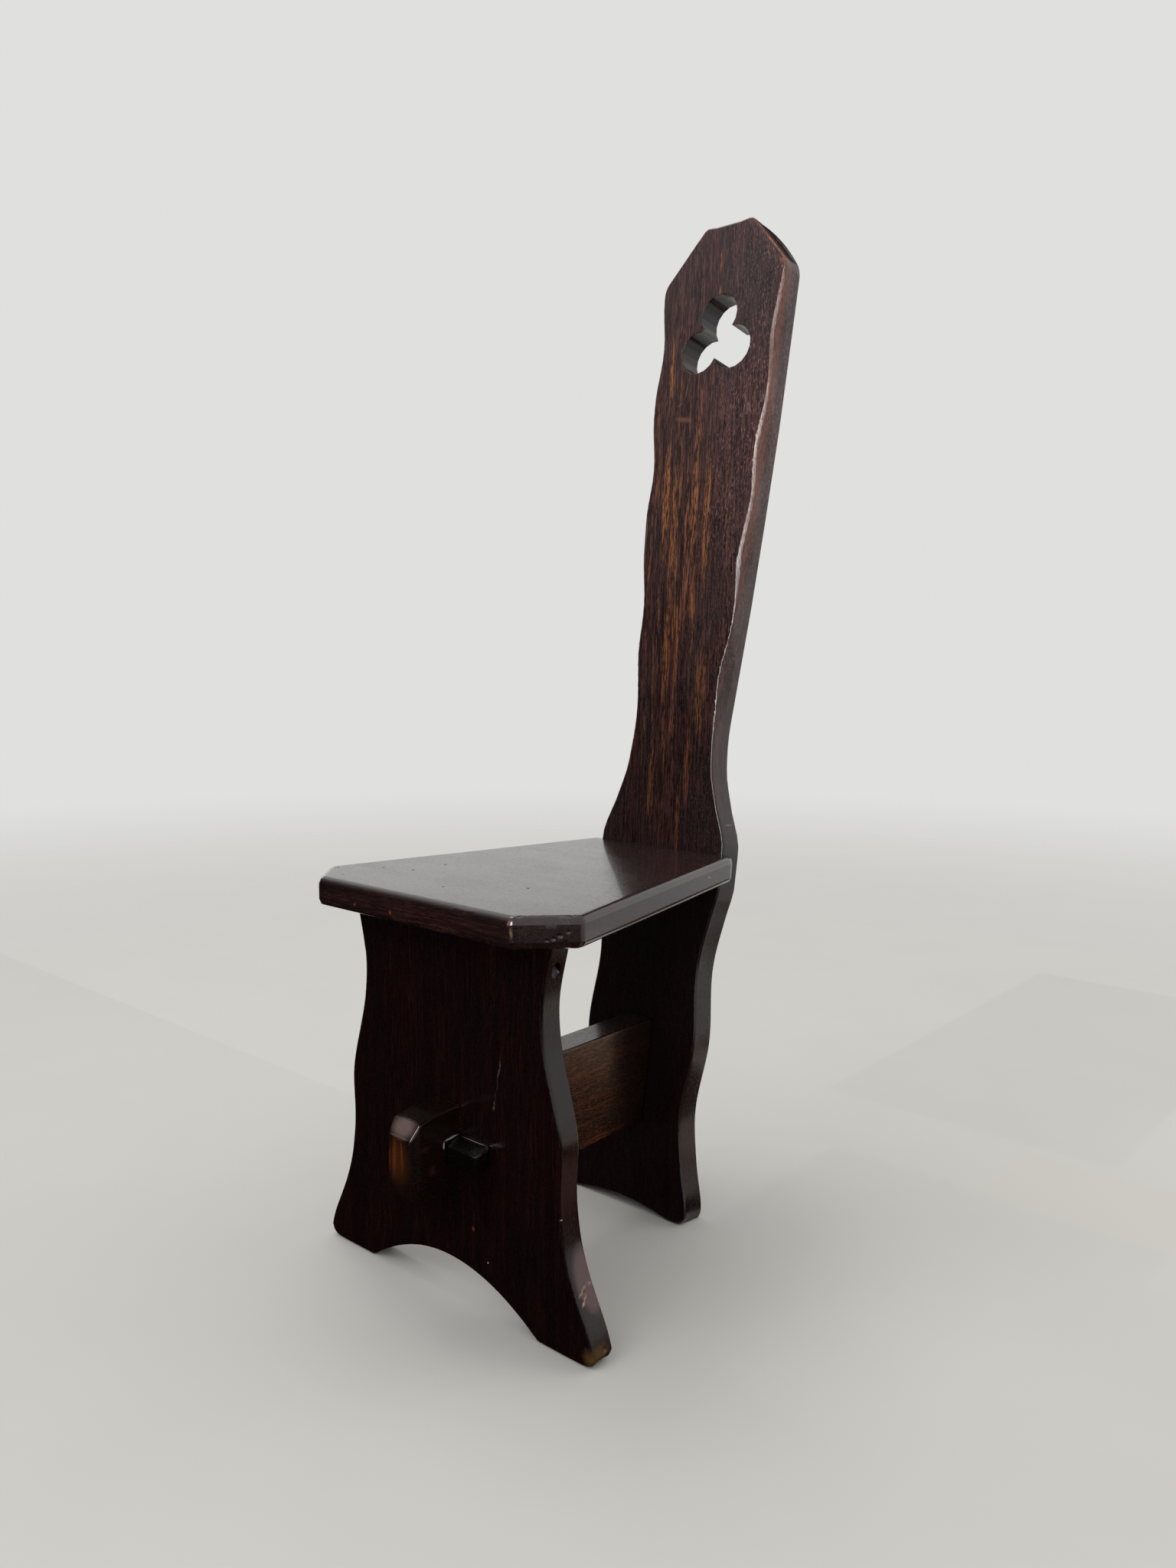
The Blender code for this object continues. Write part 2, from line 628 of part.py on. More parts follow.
def stretcher_outline():
    """Draws the stretcher from the side: through tenon, body with shoulders, and stub."""
    low = STRETCHER_CLEARANCE
    high = low + STRETCHER_HEIGHT
    tip = -TENON_PROJECTION
    shoulder = LEG_THICKNESS + JOINT_GAP
    lean = math.tan(BACK_LEAN)
    rear_gap = JOINT_GAP / math.cos(BACK_LEAN)
    stub = STUB_LENGTH / math.cos(BACK_LEAN)

    def face(height):
        return PLANK_FACE_AT_FLOOR + height * lean - rear_gap

    chin = TENON_CHIN_RADIUS
    nose = [(tip, TENON_TOP - TENON_NOSE_DROP)]
    nose.append((tip + TENON_BEVEL_LENGTH, TENON_TOP - TENON_BEVEL_DROP))
    nose.append((tip + TENON_NOSE_LENGTH, TENON_TOP))
    jaw = arc_points((tip + chin, TENON_BOTTOM + chin), (chin, chin), 270.0, 180.0, CORNER_STEPS)
    points = [(shoulder, low), (shoulder, TENON_BOTTOM)]
    points += jaw + nose
    points += [(shoulder, TENON_TOP), (shoulder, high), (face(high), high)]
    points += [(face(TENON_TOP), TENON_TOP), (face(TENON_TOP) + stub, TENON_TOP)]
    points += [(face(TENON_BOTTOM) + stub, TENON_BOTTOM), (face(TENON_BOTTOM), TENON_BOTTOM)]
    points.append((face(low), low))
    return [(world_y(depth), height) for depth, height in points]


def extruded_board(outline, thickness):
    """Draws an outline as one face and extrudes it through a board's thickness."""
    work = bmesh.new()
    rim = [work.verts.new((x, y, -thickness / 2)) for x, y in outline]
    cheek = work.faces.new(rim)
    raised = bmesh.ops.extrude_face_region(work, geom=[cheek], use_keep_orig=True)
    moved = [item for item in raised["geom"] if isinstance(item, bmesh.types.BMVert)]
    bmesh.ops.translate(work, vec=(0.0, 0.0, thickness), verts=moved)
    bmesh.ops.recalc_face_normals(work, faces=work.faces)
    return work


def ease_side_arrises(work, shoulder_depth):
    """Rounds the stretcher's long arrises and its tenon's nose, and leaves the shoulders crisp."""
    chosen = []
    for edge in work.edges:
        first, second = (vertex.co for vertex in edge.verts)
        across = abs(first.z - second.z) > JOINT_GAP
        at_shoulder = max(abs(v.x - shoulder_depth) for v in (first, second)) < JOINT_GAP
        behind = min(first.x, second.x) > shoulder_depth and abs(first.y - second.y) > JOINT_GAP
        if not across and not at_shoulder and not behind:
            chosen.append(edge)
    bmesh.ops.bevel(work, geom=chosen, offset=STRETCHER_ARRIS, segments=ROUND_SEGMENTS,
                    profile=0.5, affect="EDGES", material=-1, clamp_overlap=True)


def taper_nose(work):
    """Draws the tenon's cheeks in towards its tip."""
    tip = world_y(-TENON_PROJECTION)
    for step in range(1, TENON_TAPER_STEPS + 1):
        inside = TENON_TAPER_LENGTH * step / TENON_TAPER_STEPS
        bisect_all(work, (tip + inside, 0.0, 0.0), (1.0, 0.0, 0.0))
    for vertex in work.verts:
        short = 1 - (vertex.co.x - tip) / TENON_TAPER_LENGTH
        if short > 0.0:
            vertex.co.z -= math.copysign(TENON_TAPER * short ** 2, vertex.co.z)


def peg_section(thickness, clearance):
    """Draws the peg's section against the leg: flat back and foot, arched top."""
    bottom = TENON_TOP - PEG_BELOW_TENON_TOP - PEG_HEIGHT - clearance
    top = bottom + PEG_HEIGHT + 2 * clearance
    front = -thickness - clearance
    points = [(-JOINT_GAP, bottom), (-JOINT_GAP, top)]
    for step in range(1, CORNER_STEPS + 1):
        share = step / CORNER_STEPS
        points.append((mix(-JOINT_GAP, front, share), top - PEG_CROWN * share ** 2))
    points.append((front, bottom))
    return points


def peg_solid(name, left, right, clearance):
    """Lofts the tapered peg, or its slot, between its thin and thick ends."""
    head_end = STRETCHER_THICKNESS / 2 + PEG_HEAD
    tail_end = -STRETCHER_THICKNESS / 2 - PEG_TAIL
    work = bmesh.new()
    rings = []
    for x in (left, right):
        share = (x - tail_end) / (head_end - tail_end)
        section = peg_section(mix(PEG_THIN_END, PEG_THICK_END, share), clearance)
        ring = [work.verts.new((x, world_y(depth), height)) for depth, height in section]
        edges = [work.edges.new((a, b)) for a, b in zip(ring, ring[1:] + ring[:1])]
        rings.append(edges)
    bmesh.ops.bridge_loops(work, edges=rings[0] + rings[1])
    bmesh.ops.holes_fill(work, edges=work.edges, sides=0)
    bmesh.ops.recalc_face_normals(work, faces=work.faces)
    return work


def make_stretcher(parts, cutters, finish):
    """Makes the stretcher with the slot for its peg."""
    work = extruded_board(stretcher_outline(), STRETCHER_THICKNESS)
    ease_side_arrises(work, world_y(LEG_THICKNESS + JOINT_GAP))
    taper_nose(work)
    mesh = mesh_from_bmesh("stretcher", work)
    stretcher = add_object("stretcher", mesh, parts)
    stretcher.rotation_euler = (math.pi / 2, 0.0, math.pi / 2)
    mesh.materials.append(finish)

    reach = STRETCHER_THICKNESS / 2 + CUT_OVERRUN
    slot = peg_solid("peg_slot_cut", -reach, reach, JOINT_GAP)
    back = world_y(-JOINT_GAP)
    rear_faces = [v for v in slot.verts if v.co.y > back - JOINT_GAP / 2]
    bmesh.ops.translate(slot, vec=(0.0, PEG_SLOT_RELIEF, 0.0), verts=rear_faces)
    cut(stretcher, add_cutter("peg_slot_cut", mesh_from_bmesh("peg_slot_cut", slot), cutters))
    return stretcher


def make_tusk_peg(parts, finish):
    """Makes the tapered peg, its origin on the line that it is drawn out along."""
    head_end = STRETCHER_THICKNESS / 2 + PEG_HEAD
    tail_end = -STRETCHER_THICKNESS / 2 - PEG_TAIL
    work = peg_solid("tusk_peg", tail_end, head_end, 0.0)
    ends = []
    for edge in work.edges:
        first, second = (vertex.co for vertex in edge.verts)
        if abs(first.x - second.x) < JOINT_GAP:
            ends.append(edge)
    bmesh.ops.bevel(work, geom=ends, offset=PEG_CHAMFER, segments=1, profile=0.5,
                    affect="EDGES", material=-1, clamp_overlap=True)
    middle = peg_middle()
    bmesh.ops.translate(work, vec=-middle, verts=work.verts)
    peg = add_object("tusk_peg", mesh_from_bmesh("tusk_peg", work), parts)
    peg.location = middle
    peg.data.materials.append(finish)
    return peg


def peg_middle():
    """Gives the point on the peg's own axis at the middle of the stretcher."""
    depth = -PEG_THIN_END / 2
    height = TENON_TOP - PEG_BELOW_TENON_TOP - PEG_HEIGHT / 2
    return Vector((0.0, world_y(depth), height))


def turned_mesh(name, profile, sides):
    """Turns a profile of radius and height round Z with a Screw modifier."""
    work = bmesh.new()
    line = [work.verts.new((radius, 0.0, height)) for radius, height in profile]
    for first, second in zip(line, line[1:]):
        work.edges.new((first, second))
    mesh = bpy.data.meshes.new(name)
    work.to_mesh(mesh)
    work.free()
    holder = bpy.data.objects.new(name, mesh)
    bpy.context.scene.collection.objects.link(holder)
    screw = holder.modifiers.new("turn", "SCREW")
    screw.axis = "Z"
    screw.angle = 2 * math.pi
    screw.steps = sides
    screw.render_steps = sides
    screw.use_merge_vertices = True
    screw.merge_threshold = JOINT_GAP / 10
    bpy.context.view_layer.update()
    turned = bpy.data.meshes.new_from_object(holder.evaluated_get(
        bpy.context.evaluated_depsgraph_get()))
    bpy.data.objects.remove(holder, do_unlink=True)
    work = bmesh.new()
    work.from_mesh(turned)
    bmesh.ops.remove_doubles(work, verts=work.verts, dist=JOINT_GAP / 10)
    round_mesh = mesh_from_bmesh(name, work)
    round_mesh.shade_smooth()
    round_mesh.set_sharp_from_angle(angle=SHARP_ANGLE)
    return round_mesh


def screw_profile(head_diameter, head_height, length, countersunk):
    """Gives a wood screw's profile: point at the bottom, head on top, seat of the head at zero."""
    shank = SCREW_SHANK_DIAMETER / 2
    head = head_diameter / 2
    points = [(0.0, -length), (shank, SCREW_POINT_LENGTH - length)]
    if countersunk:
        points += [(shank, -head_height), (head, 0.0), (0.0, 0.0)]
    else:
        points += [(shank, 0.0), (head, 0.0), (head, head_height / 2)]
        points += [(head / 2, head_height), (0.0, head_height)]
    return points


def bore_profile(head_diameter, head_height, length, countersunk, above):
    """Gives the clearance bore of a screw, open above its head."""
    shank = SCREW_SHANK_DIAMETER / 2 + JOINT_GAP
    head = head_diameter / 2 + JOINT_GAP
    points = [(0.0, -length - JOINT_GAP), (shank, SCREW_POINT_LENGTH - length - JOINT_GAP)]
    if countersunk:
        points += [(shank, -head_height - JOINT_GAP), (head, -JOINT_GAP)]
    else:
        points += [(shank, -JOINT_GAP), (head, -JOINT_GAP)]
    points += [(head, above), (0.0, above)]
    return points


def slot_cutter(name, head_diameter, top, cutters, location, rotation):
    """Makes the block that cuts a driver slot across a screw's head."""
    half = head_diameter
    width = SCREW_SLOT_WIDTH / 2
    mesh = box_mesh(name, (-half, -width, top - SCREW_SLOT_DEPTH), (half, width, top + half))
    return add_cutter(name, mesh, cutters, location, rotation)


def make_pocket_screw(side, name, parts, cutters, finish, leg, seat):
    """Makes one slanting screw, its pocket in the leg and its hole in the seat."""
    entry_height = SEAT_UNDERSIDE - POCKET_BELOW_SEAT
    entry_x = smooth_value(leg_stations(), entry_height)
    inwards = math.sin(POCKET_ANGLE)
    upwards = math.cos(POCKET_ANGLE)
    seat_x = entry_x - inwards * POCKET_DEPTH
    location = (side * seat_x, world_y(LEG_THICKNESS / 2), entry_height + upwards * POCKET_DEPTH)
    rotation = (math.pi, -side * POCKET_ANGLE, 0.0)
    profile = screw_profile(POCKET_HEAD_DIAMETER, POCKET_HEAD_HEIGHT, POCKET_SCREW_LENGTH, False)
    screw = add_object(name, turned_mesh(name, profile, SCREW_SIDES), parts)
    screw.location = location
    screw.rotation_euler = rotation
    screw.data.materials.append(finish)
    cut(screw, slot_cutter(name + "_slot_cut", POCKET_HEAD_DIAMETER, POCKET_HEAD_HEIGHT, cutters,
                           location, rotation))
    reach = POCKET_DEPTH + CUT_OVERRUN
    bore = bore_profile(POCKET_DIAMETER, POCKET_HEAD_HEIGHT, POCKET_SCREW_LENGTH, False, reach)
    bore_mesh = turned_mesh(name + "_bore_cut", bore, SCREW_SIDES)
    cutter = add_cutter(name + "_bore_cut", bore_mesh, cutters, location, rotation)
    cut(leg, cutter)
    cut(seat, cutter)
    return screw


def make_back_screw(side, name, parts, cutters, finish, plank, seat):
    """Makes one countersunk screw through the plank into the seat's rear edge."""
    grip = BACK_SCREW_LENGTH - PLANK_THICKNESS
    leaves_at = SEAT_HEIGHT - SEAT_THICKNESS / 2 - grip / 2 * math.sin(BACK_LEAN)
    location = plank_point(leaves_at / math.cos(BACK_LEAN), PLANK_THICKNESS - JOINT_GAP)
    location.x = side * BACK_SCREW_SPACING / 2
    rotation = (-math.pi / 2 - BACK_LEAN, 0.0, 0.0)
    profile = screw_profile(BACK_HEAD_DIAMETER, BACK_HEAD_HEIGHT, BACK_SCREW_LENGTH, True)
    screw = add_object(name, turned_mesh(name, profile, SCREW_SIDES), parts)
    screw.location = location
    screw.rotation_euler = rotation
    screw.data.materials.append(finish)
    cut(screw, slot_cutter(name + "_slot_cut", BACK_HEAD_DIAMETER, 0.0, cutters, location, rotation))
    bore = bore_profile(BACK_HEAD_DIAMETER, BACK_HEAD_HEIGHT, BACK_SCREW_LENGTH, True, CUT_OVERRUN)
    bore_mesh = turned_mesh(name + "_bore_cut", bore, SCREW_SIDES)
    cutter = add_cutter(name + "_bore_cut", bore_mesh, cutters, location, rotation)
    cut(plank, cutter)
    cut(seat, cutter)
    return screw


def build():
    """Builds the whole chair."""
    clear_scene()
    parts = make_collection("spinning_chair")
    cutters = make_collection("cutters")
    dark_oak = make_material("dark_oak", (0.055, 0.026, 0.018), 0.32, 0.0)
    seat_oak = make_material("seat_oak", (0.075, 0.034, 0.022), 0.28, 0.0)
    leg_oak = make_material("leg_oak", (0.04, 0.018, 0.014), 0.34, 0.0)
    stretcher_oak = make_material("stretcher_oak", (0.085, 0.04, 0.024), 0.36, 0.0)
    peg_oak = make_material("peg_oak", (0.05, 0.024, 0.017), 0.38, 0.0)
    steel = make_material("screw_steel", (0.35, 0.33, 0.3), 0.45, 1.0)

    plank = make_back_plank(parts, cutters, dark_oak)
    seat = make_seat_board(parts, cutters, seat_oak)
    leg = make_front_leg(parts, cutters, leg_oak)
    make_stretcher(parts, cutters, stretcher_oak)
    make_tusk_peg(parts, peg_oak)
    for side, hand in ((-1, "left"), (1, "right")):
        make_pocket_screw(side, "pocket_screw_" + hand, parts, cutters, steel, leg, seat)
        make_back_screw(side, "back_screw_" + hand, parts, cutters, steel, plank, seat)


build()
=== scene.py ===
"""Looks of a low spinning chair: hand-worked, dark-stained and varnished boards in a plain studio.

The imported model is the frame. Each board is a finer copy of its solid, with planed faces, worn
arrises and dents, and stands in for that solid. Units are metres, +Z is up, the front faces -Y.
"""

import math

import bmesh
import bpy
from bpy.props import FloatProperty, FloatVectorProperty, PointerProperty
from mathutils import Matrix, Vector, noise


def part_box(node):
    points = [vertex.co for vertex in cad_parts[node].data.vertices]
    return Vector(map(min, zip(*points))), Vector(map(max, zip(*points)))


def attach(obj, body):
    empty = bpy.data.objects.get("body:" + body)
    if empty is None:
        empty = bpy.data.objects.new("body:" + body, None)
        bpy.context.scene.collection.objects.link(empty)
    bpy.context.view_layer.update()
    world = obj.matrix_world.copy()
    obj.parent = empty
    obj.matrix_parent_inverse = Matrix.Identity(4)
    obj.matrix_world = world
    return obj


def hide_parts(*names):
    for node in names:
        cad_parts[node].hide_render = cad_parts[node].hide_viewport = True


bl_info = {
    "name": "Spinning Chair",
    "version": (1, 0, 0),
    "blender": (4, 5, 0),
    "location": "3D View > Sidebar > Chair",
    "description": "Dresses the solids of a low spinning chair in worn, varnished wood",
    "category": "Object",
}

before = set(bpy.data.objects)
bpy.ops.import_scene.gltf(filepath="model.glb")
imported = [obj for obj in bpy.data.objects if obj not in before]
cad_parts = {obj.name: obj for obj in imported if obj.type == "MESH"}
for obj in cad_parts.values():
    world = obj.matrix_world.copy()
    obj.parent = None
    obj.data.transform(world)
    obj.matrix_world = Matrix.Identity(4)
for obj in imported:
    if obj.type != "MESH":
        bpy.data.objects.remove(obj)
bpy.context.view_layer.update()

MILLIMETRE = 0.001
MERGE_DISTANCE = 0.00002
FLAT_ANGLE = math.radians(0.4)
SHARP_ANGLE = math.radians(50.0)
RIM_ANGLE = math.radians(60.0)
FULL_ARRIS_ANGLE = math.radians(45.0)
ARRIS_WIDTH = 0.0056
# How the weighted normals rank a face
FACE_STRENGTH = "__mod_weightednormals_faceweight"
STRONG_FACE = 16384
WEAK_FACE = -16384
# Waves per metre of the planing, of the wear along an arris and of its rubbed patches
PLANING_ACROSS = 16.0
PLANING_ALONG = 7.0
WEAR_WAVES = 9.0
WEAR_PATCHES = 14.0
PATCH_MIDDLE = 0.7
# A dent's cuts per radius, and how far round it faces are looked for
DENT_CUTS = 3.5
DENT_MARGIN = 1.15
DENT_NEAR = 0.008

# The plank's lean, and the slant at which its grain crosses its length
BACK_LEAN = math.radians(9.3)
GRAIN_SLANT = math.radians(5.0)
ALONG_PLANK = Vector((0.0, math.sin(BACK_LEAN), math.cos(BACK_LEAN)))
INTO_PLANK = Vector((0.0, math.cos(BACK_LEAN), -math.sin(BACK_LEAN)))
ACROSS = Vector((1.0, 0.0, 0.0))
FORTH = Vector((0.0, 1.0, 0.0))
UP = Vector((0.0, 0.0, 1.0))


def linear(code):
    """Turns an sRGB hex code into a linear colour."""
    channels = [int(code[place:place + 2], 16) / 255 for place in (1, 3, 5)]
    return tuple(c / 12.92 if c <= 0.04045 else ((c + 0.055) / 1.055) ** 2.4 for c in channels)


def rgba(code):
    """Turns an sRGB hex code into a linear colour with full opacity."""
    return (*linear(code), 1.0)


def clamp(value, low=0.0, high=1.0):
    """Keeps a value between two limits."""
    return min(high, max(low, value))


def rise(value, start, length, low=0.0, high=1.0):
    """Goes from 0 at a start to 1 after a length, within limits; a length below 0 falls."""
    return clamp((value - start) / length, low, high)


def colour_property(name, description, code):
    """Makes a colour setting whose default is an sRGB hex code."""
    return FloatVectorProperty(name=name, description=description, subtype="COLOR", size=3,
                               min=0.0, max=1.0, default=linear(code))


class ChairWoodSettings(bpy.types.PropertyGroup):
    """Colours of the stained boards, and how strongly they are worked and worn."""

    # A board's dark grain colour is also the colour of its painted shade
    plank_colour: colour_property("Plank", "Stain of the back plank", "#351c15")
    plank_dark: colour_property("Plank dark grain", "Dark bands in the back plank", "#140a0e")
    plank_streak: colour_property("Plank streaks", "Streaks where the stain took less", "#9c6036")
    seat_colour: colour_property("Seat", "Stain of the seat board", "#241415")
    seat_dark: colour_property("Seat dark grain", "Dark bands in the seat board", "#150b0d")
    seat_streak: colour_property("Seat streaks", "Lighter streaks in the seat board", "#4a2a20")
    leg_colour: colour_property("Leg", "Stain of the front leg board", "#140406")
    leg_dark: colour_property("Leg dark grain", "Dark bands in the front leg board", "#0a0304")
    leg_streak: colour_property("Leg streaks", "Lighter streaks in the front leg", "#2c110f")
    stretcher_colour: colour_property("Stretcher", "Stain of the stretcher", "#2a1208")
    stretcher_dark: colour_property("Stretcher dark grain", "Dark grain in it", "#100604")
    stretcher_streak: colour_property("Stretcher streaks", "Lighter figure in it", "#5f3119")
    peg_colour: colour_property("Peg", "Stain of the peg", "#060202")
    peg_dark: colour_property("Peg dark grain", "Dark grain in the peg", "#030101")
    peg_streak: colour_property("Peg streaks", "Lighter grain in the peg", "#160706")
    worn_colour: colour_property("Worn wood", "Wood where the stain is rubbed off", "#a4663c")
    planing_depth: FloatProperty(
        name="Planing", description="How deep the hand plane left its hollows",
        default=0.00022, min=0.0, unit="LENGTH")
    arris_wear: FloatProperty(
        name="Arris wear", description="How far handling has rubbed the arrises back",
        default=0.0004, min=0.0, unit="LENGTH")
    rim_round: FloatProperty(
        name="Rim", description="How wide the cut rims are rounded over",
        default=0.0008, min=0.0, unit="LENGTH")


class ChairStudioSettings(bpy.types.PropertyGroup):
    """The camera, the lamps and the floor."""

    camera_place: FloatVectorProperty(
        name="Camera place", description="Where the camera stands", subtype="TRANSLATION",
        unit="LENGTH", size=3, default=(0.7664, -0.8858, 0.5909))
    camera_heading: FloatProperty(
        name="Heading", description="Turn of the camera from +Y towards -X",
        subtype="ANGLE", default=math.radians(41.05))
    camera_pitch: FloatProperty(
        name="Pitch", description="How far the camera looks down", subtype="ANGLE",
        default=math.radians(6.27))
    camera_roll: FloatProperty(
        name="Roll", description="How far the camera leans", subtype="ANGLE",
        default=math.radians(0.33))
    camera_lens: FloatProperty(
        name="Lens", description="Focal length in millimetres on a 36 mm sensor",
        default=26.723, min=1.0)
    room_colour: colour_property("Room", "The pale room all round", "#e0e0df")
    floor_colour: colour_property("Floor", "The pale floor", "#d0cec9")
    key_power: FloatProperty(
        name="Key", description="Power of the large soft lamp at the upper left",
        default=15.0, min=0.0, unit="POWER")
    strip_power: FloatProperty(
        name="Strip", description="Power of the tall lamp at the front, seen only as gloss",
        default=48.0, min=0.0, unit="POWER")
    side_power: FloatProperty(
        name="Side", description="Power of the wide soft lamp at the right rear",
        default=7.0, min=0.0, unit="POWER")
    front_power: FloatProperty(
        name="Front", description="Power of the wide soft lamp above the front",
        default=10.0, min=0.0, unit="POWER")


# Each kind of node: its type after ShaderNode, its inputs in the order given, its output, and a
# setting and its value
NODES = {
    "place": ("TexCoord", (), "Object"),
    "painted": ("Attribute", (), "Fac"),
    "height": ("SeparateXYZ", ("Vector",), "Z"),
    "turned": ("Mapping", ("Vector", "Rotation"), 0),
    "drawn_out": ("Mapping", ("Vector", "Location", "Scale"), 0),
    "local": ("Mapping", ("Vector", "Location", "Scale", "Rotation"), 0,
              ("vector_type", "TEXTURE")),
    "noise": ("TexNoise", ("Vector", "Scale", "Detail", "Roughness"), 0),
    "sway": ("TexNoise", ("Vector", "Scale", "Detail"), "Color"),
    "length": ("VectorMath", (0,), "Value", ("operation", "LENGTH")),
    "less": ("VectorMath", (0, 1), 0, ("operation", "SUBTRACT")),
    "shift": ("VectorMath", (0, 1, 2), 0, ("operation", "MULTIPLY_ADD")),
    "ramp": ("MapRange", ("Value", "From Min", "From Max", "To Min", "To Max"), "Result",
             ("interpolation_type", "SMOOTHSTEP")),
    "add": ("Math", (0, 1), 0, ("operation", "ADD")),
    "multiply": ("Math", (0, 1), 0, ("operation", "MULTIPLY")),
    "multiply_add": ("Math", (0, 1, 2), 0, ("operation", "MULTIPLY_ADD")),
    "maximum": ("Math", (0, 1), 0, ("operation", "MAXIMUM")),
    "mix": ("Mix", (0, 6, 7), 2, ("data_type", "RGBA")),
    "bump": ("Bump", ("Strength", "Distance", "Height"), 0),
    "principled": ("BsdfPrincipled", (), 0),
    "emission": ("Emission", ("Color", "Strength"), 0),
    "clear": ("BsdfTransparent", (), 0),
    "mix_shader": ("MixShader", (0, 1, 2), 0),
    "background": ("Background", ("Color", "Strength"), 0),
    "surface": ("OutputMaterial", ("Surface",), None),
    "world": ("OutputWorld", ("Surface",), None),
}


def node(tree, kind, *values, **settings):
    """Adds a node of a listed kind and gives its output; a value that is a socket is linked.

    The values are for the kind's inputs in order, or are one dict that names the inputs.
    """
    type_name, order, output, *own = NODES[kind]
    made = tree.nodes.new("ShaderNode" + type_name)
    for key, value in {**dict(own), **settings}.items():
        setattr(made, key, value)
    by_name = values[0] if values and isinstance(values[0], dict) else dict(zip(order, values))
    for key, value in by_name.items():
        if isinstance(value, bpy.types.NodeSocket):
            tree.links.new(value, made.inputs[key])
        else:
            made.inputs[key].default_value = value
    return None if output is None else made.outputs[output]


def new_material(name):
    """Makes an empty material, and gives it with its node tree."""
    material = bpy.data.materials.new(name)
    material.use_nodes = True
    material.node_tree.nodes.clear()
    return material, material.node_tree


def grain_noise(tree, place, across, along, seed, detail):
    """Gives noise that is drawn out along the grain, by its width and length in metres."""
    stretched = node(tree, "drawn_out", place, (seed, seed * 1.7, seed * 0.6),
                     (1 / across, 1 / across, 1 / along))
    return node(tree, "noise", stretched, 1.0, detail, NOISE_ROUGHNESS)


def mark(tree, place, centre, size, edge, turn=(0.0, 0.0, 0.0)):
    """Gives a mask of one small mark, an ellipsoid of these half sizes with a soft edge."""
    far = node(tree, "length", node(tree, "local", place, centre, size, turn))
    return node(tree, "ramp", far, 1.0, edge)


def jittered(tree, place, scale, reach):
    """Moves places about by smooth noise, up to half this reach each way."""
    sway = node(tree, "less", node(tree, "sway", place, scale, 1.0), (0.5, 0.5, 0.5))
    return node(tree, "shift", sway, reach, place)


def any_of(tree, masks):
    """Joins masks, each shown where it is strongest."""
    joined = masks[0]
    for mask in masks[1:]:
        joined = node(tree, "maximum", joined, mask)
    return joined


def stripes(tree, turned, rows):
    """Gives a mask of long stripes in the grain: across, along, half width and half length."""
    return any_of(tree, [mark(tree, turned, (across, 0.0, along), (width, STRIPE_DEPTH, length),
                              STRIPE_EDGE)
                         for across, along, width, length in rows])


# Patterns of the grain: width and length in metres, place in the noise, and detail
RINGS = (10 * MILLIMETRE, 150 * MILLIMETRE, 3.1, 3.0)
BUNDLES = (7 * MILLIMETRE, 240 * MILLIMETRE, 31.0, 2.0)
LINES = (1.3 * MILLIMETRE, 42 * MILLIMETRE, 7.7, 2.0)
FIBRES = (0.7 * MILLIMETRE, 11 * MILLIMETRE, 11.3, 2.0)
PITS = (0.8 * MILLIMETRE, 5.0 * MILLIMETRE, 17.9, 1.0)
STAIN = (40 * MILLIMETRE, 110 * MILLIMETRE, 23.0, 2.0)
NOISE_ROUGHNESS = 0.55
# How the grain sways: waves per metre, and reach in metres
SWAY = (5.0, (0.012, 0.012, 0.0))
STRIPE_DEPTH = 0.3
STRIPE_EDGE = 0.35
RAGGED_WAVES = 330.0
RAGGED_REACH = 3.2
# Levels of a pattern between which its mask goes from nothing to full
BAND_LEVELS = (0.6, 0.36)
BUNDLE_LEVELS = (0.47, 0.62)
BRIGHT_LEVELS = (0.96, 1.14)
SHUT_LEVELS = (0.98, 0.84)
FLECK_LEVELS = (0.58, 0.70)
PORE_LEVELS = (0.42, 0.33)
BLOTCH_LEVELS = (0.4, 0.62)
RUB_LEVELS = (1.28, 1.42)
SHEEN_LEVELS = (0.3, 0.7)
# Levels of a pattern, and what its mask goes from and to
BARED_LEVELS = (0.8, 1.15, 0.35, 1.0)
RELIEF_LEVELS = (0.0, 0.7, 0.3, 0.03)
RELIEF_HEIGHT = 0.2 * MILLIMETRE
PORE_ROUGHNESS = 0.12
VARNISH_IOR = 1.5
NO_COAT = (0.0, 0.1)


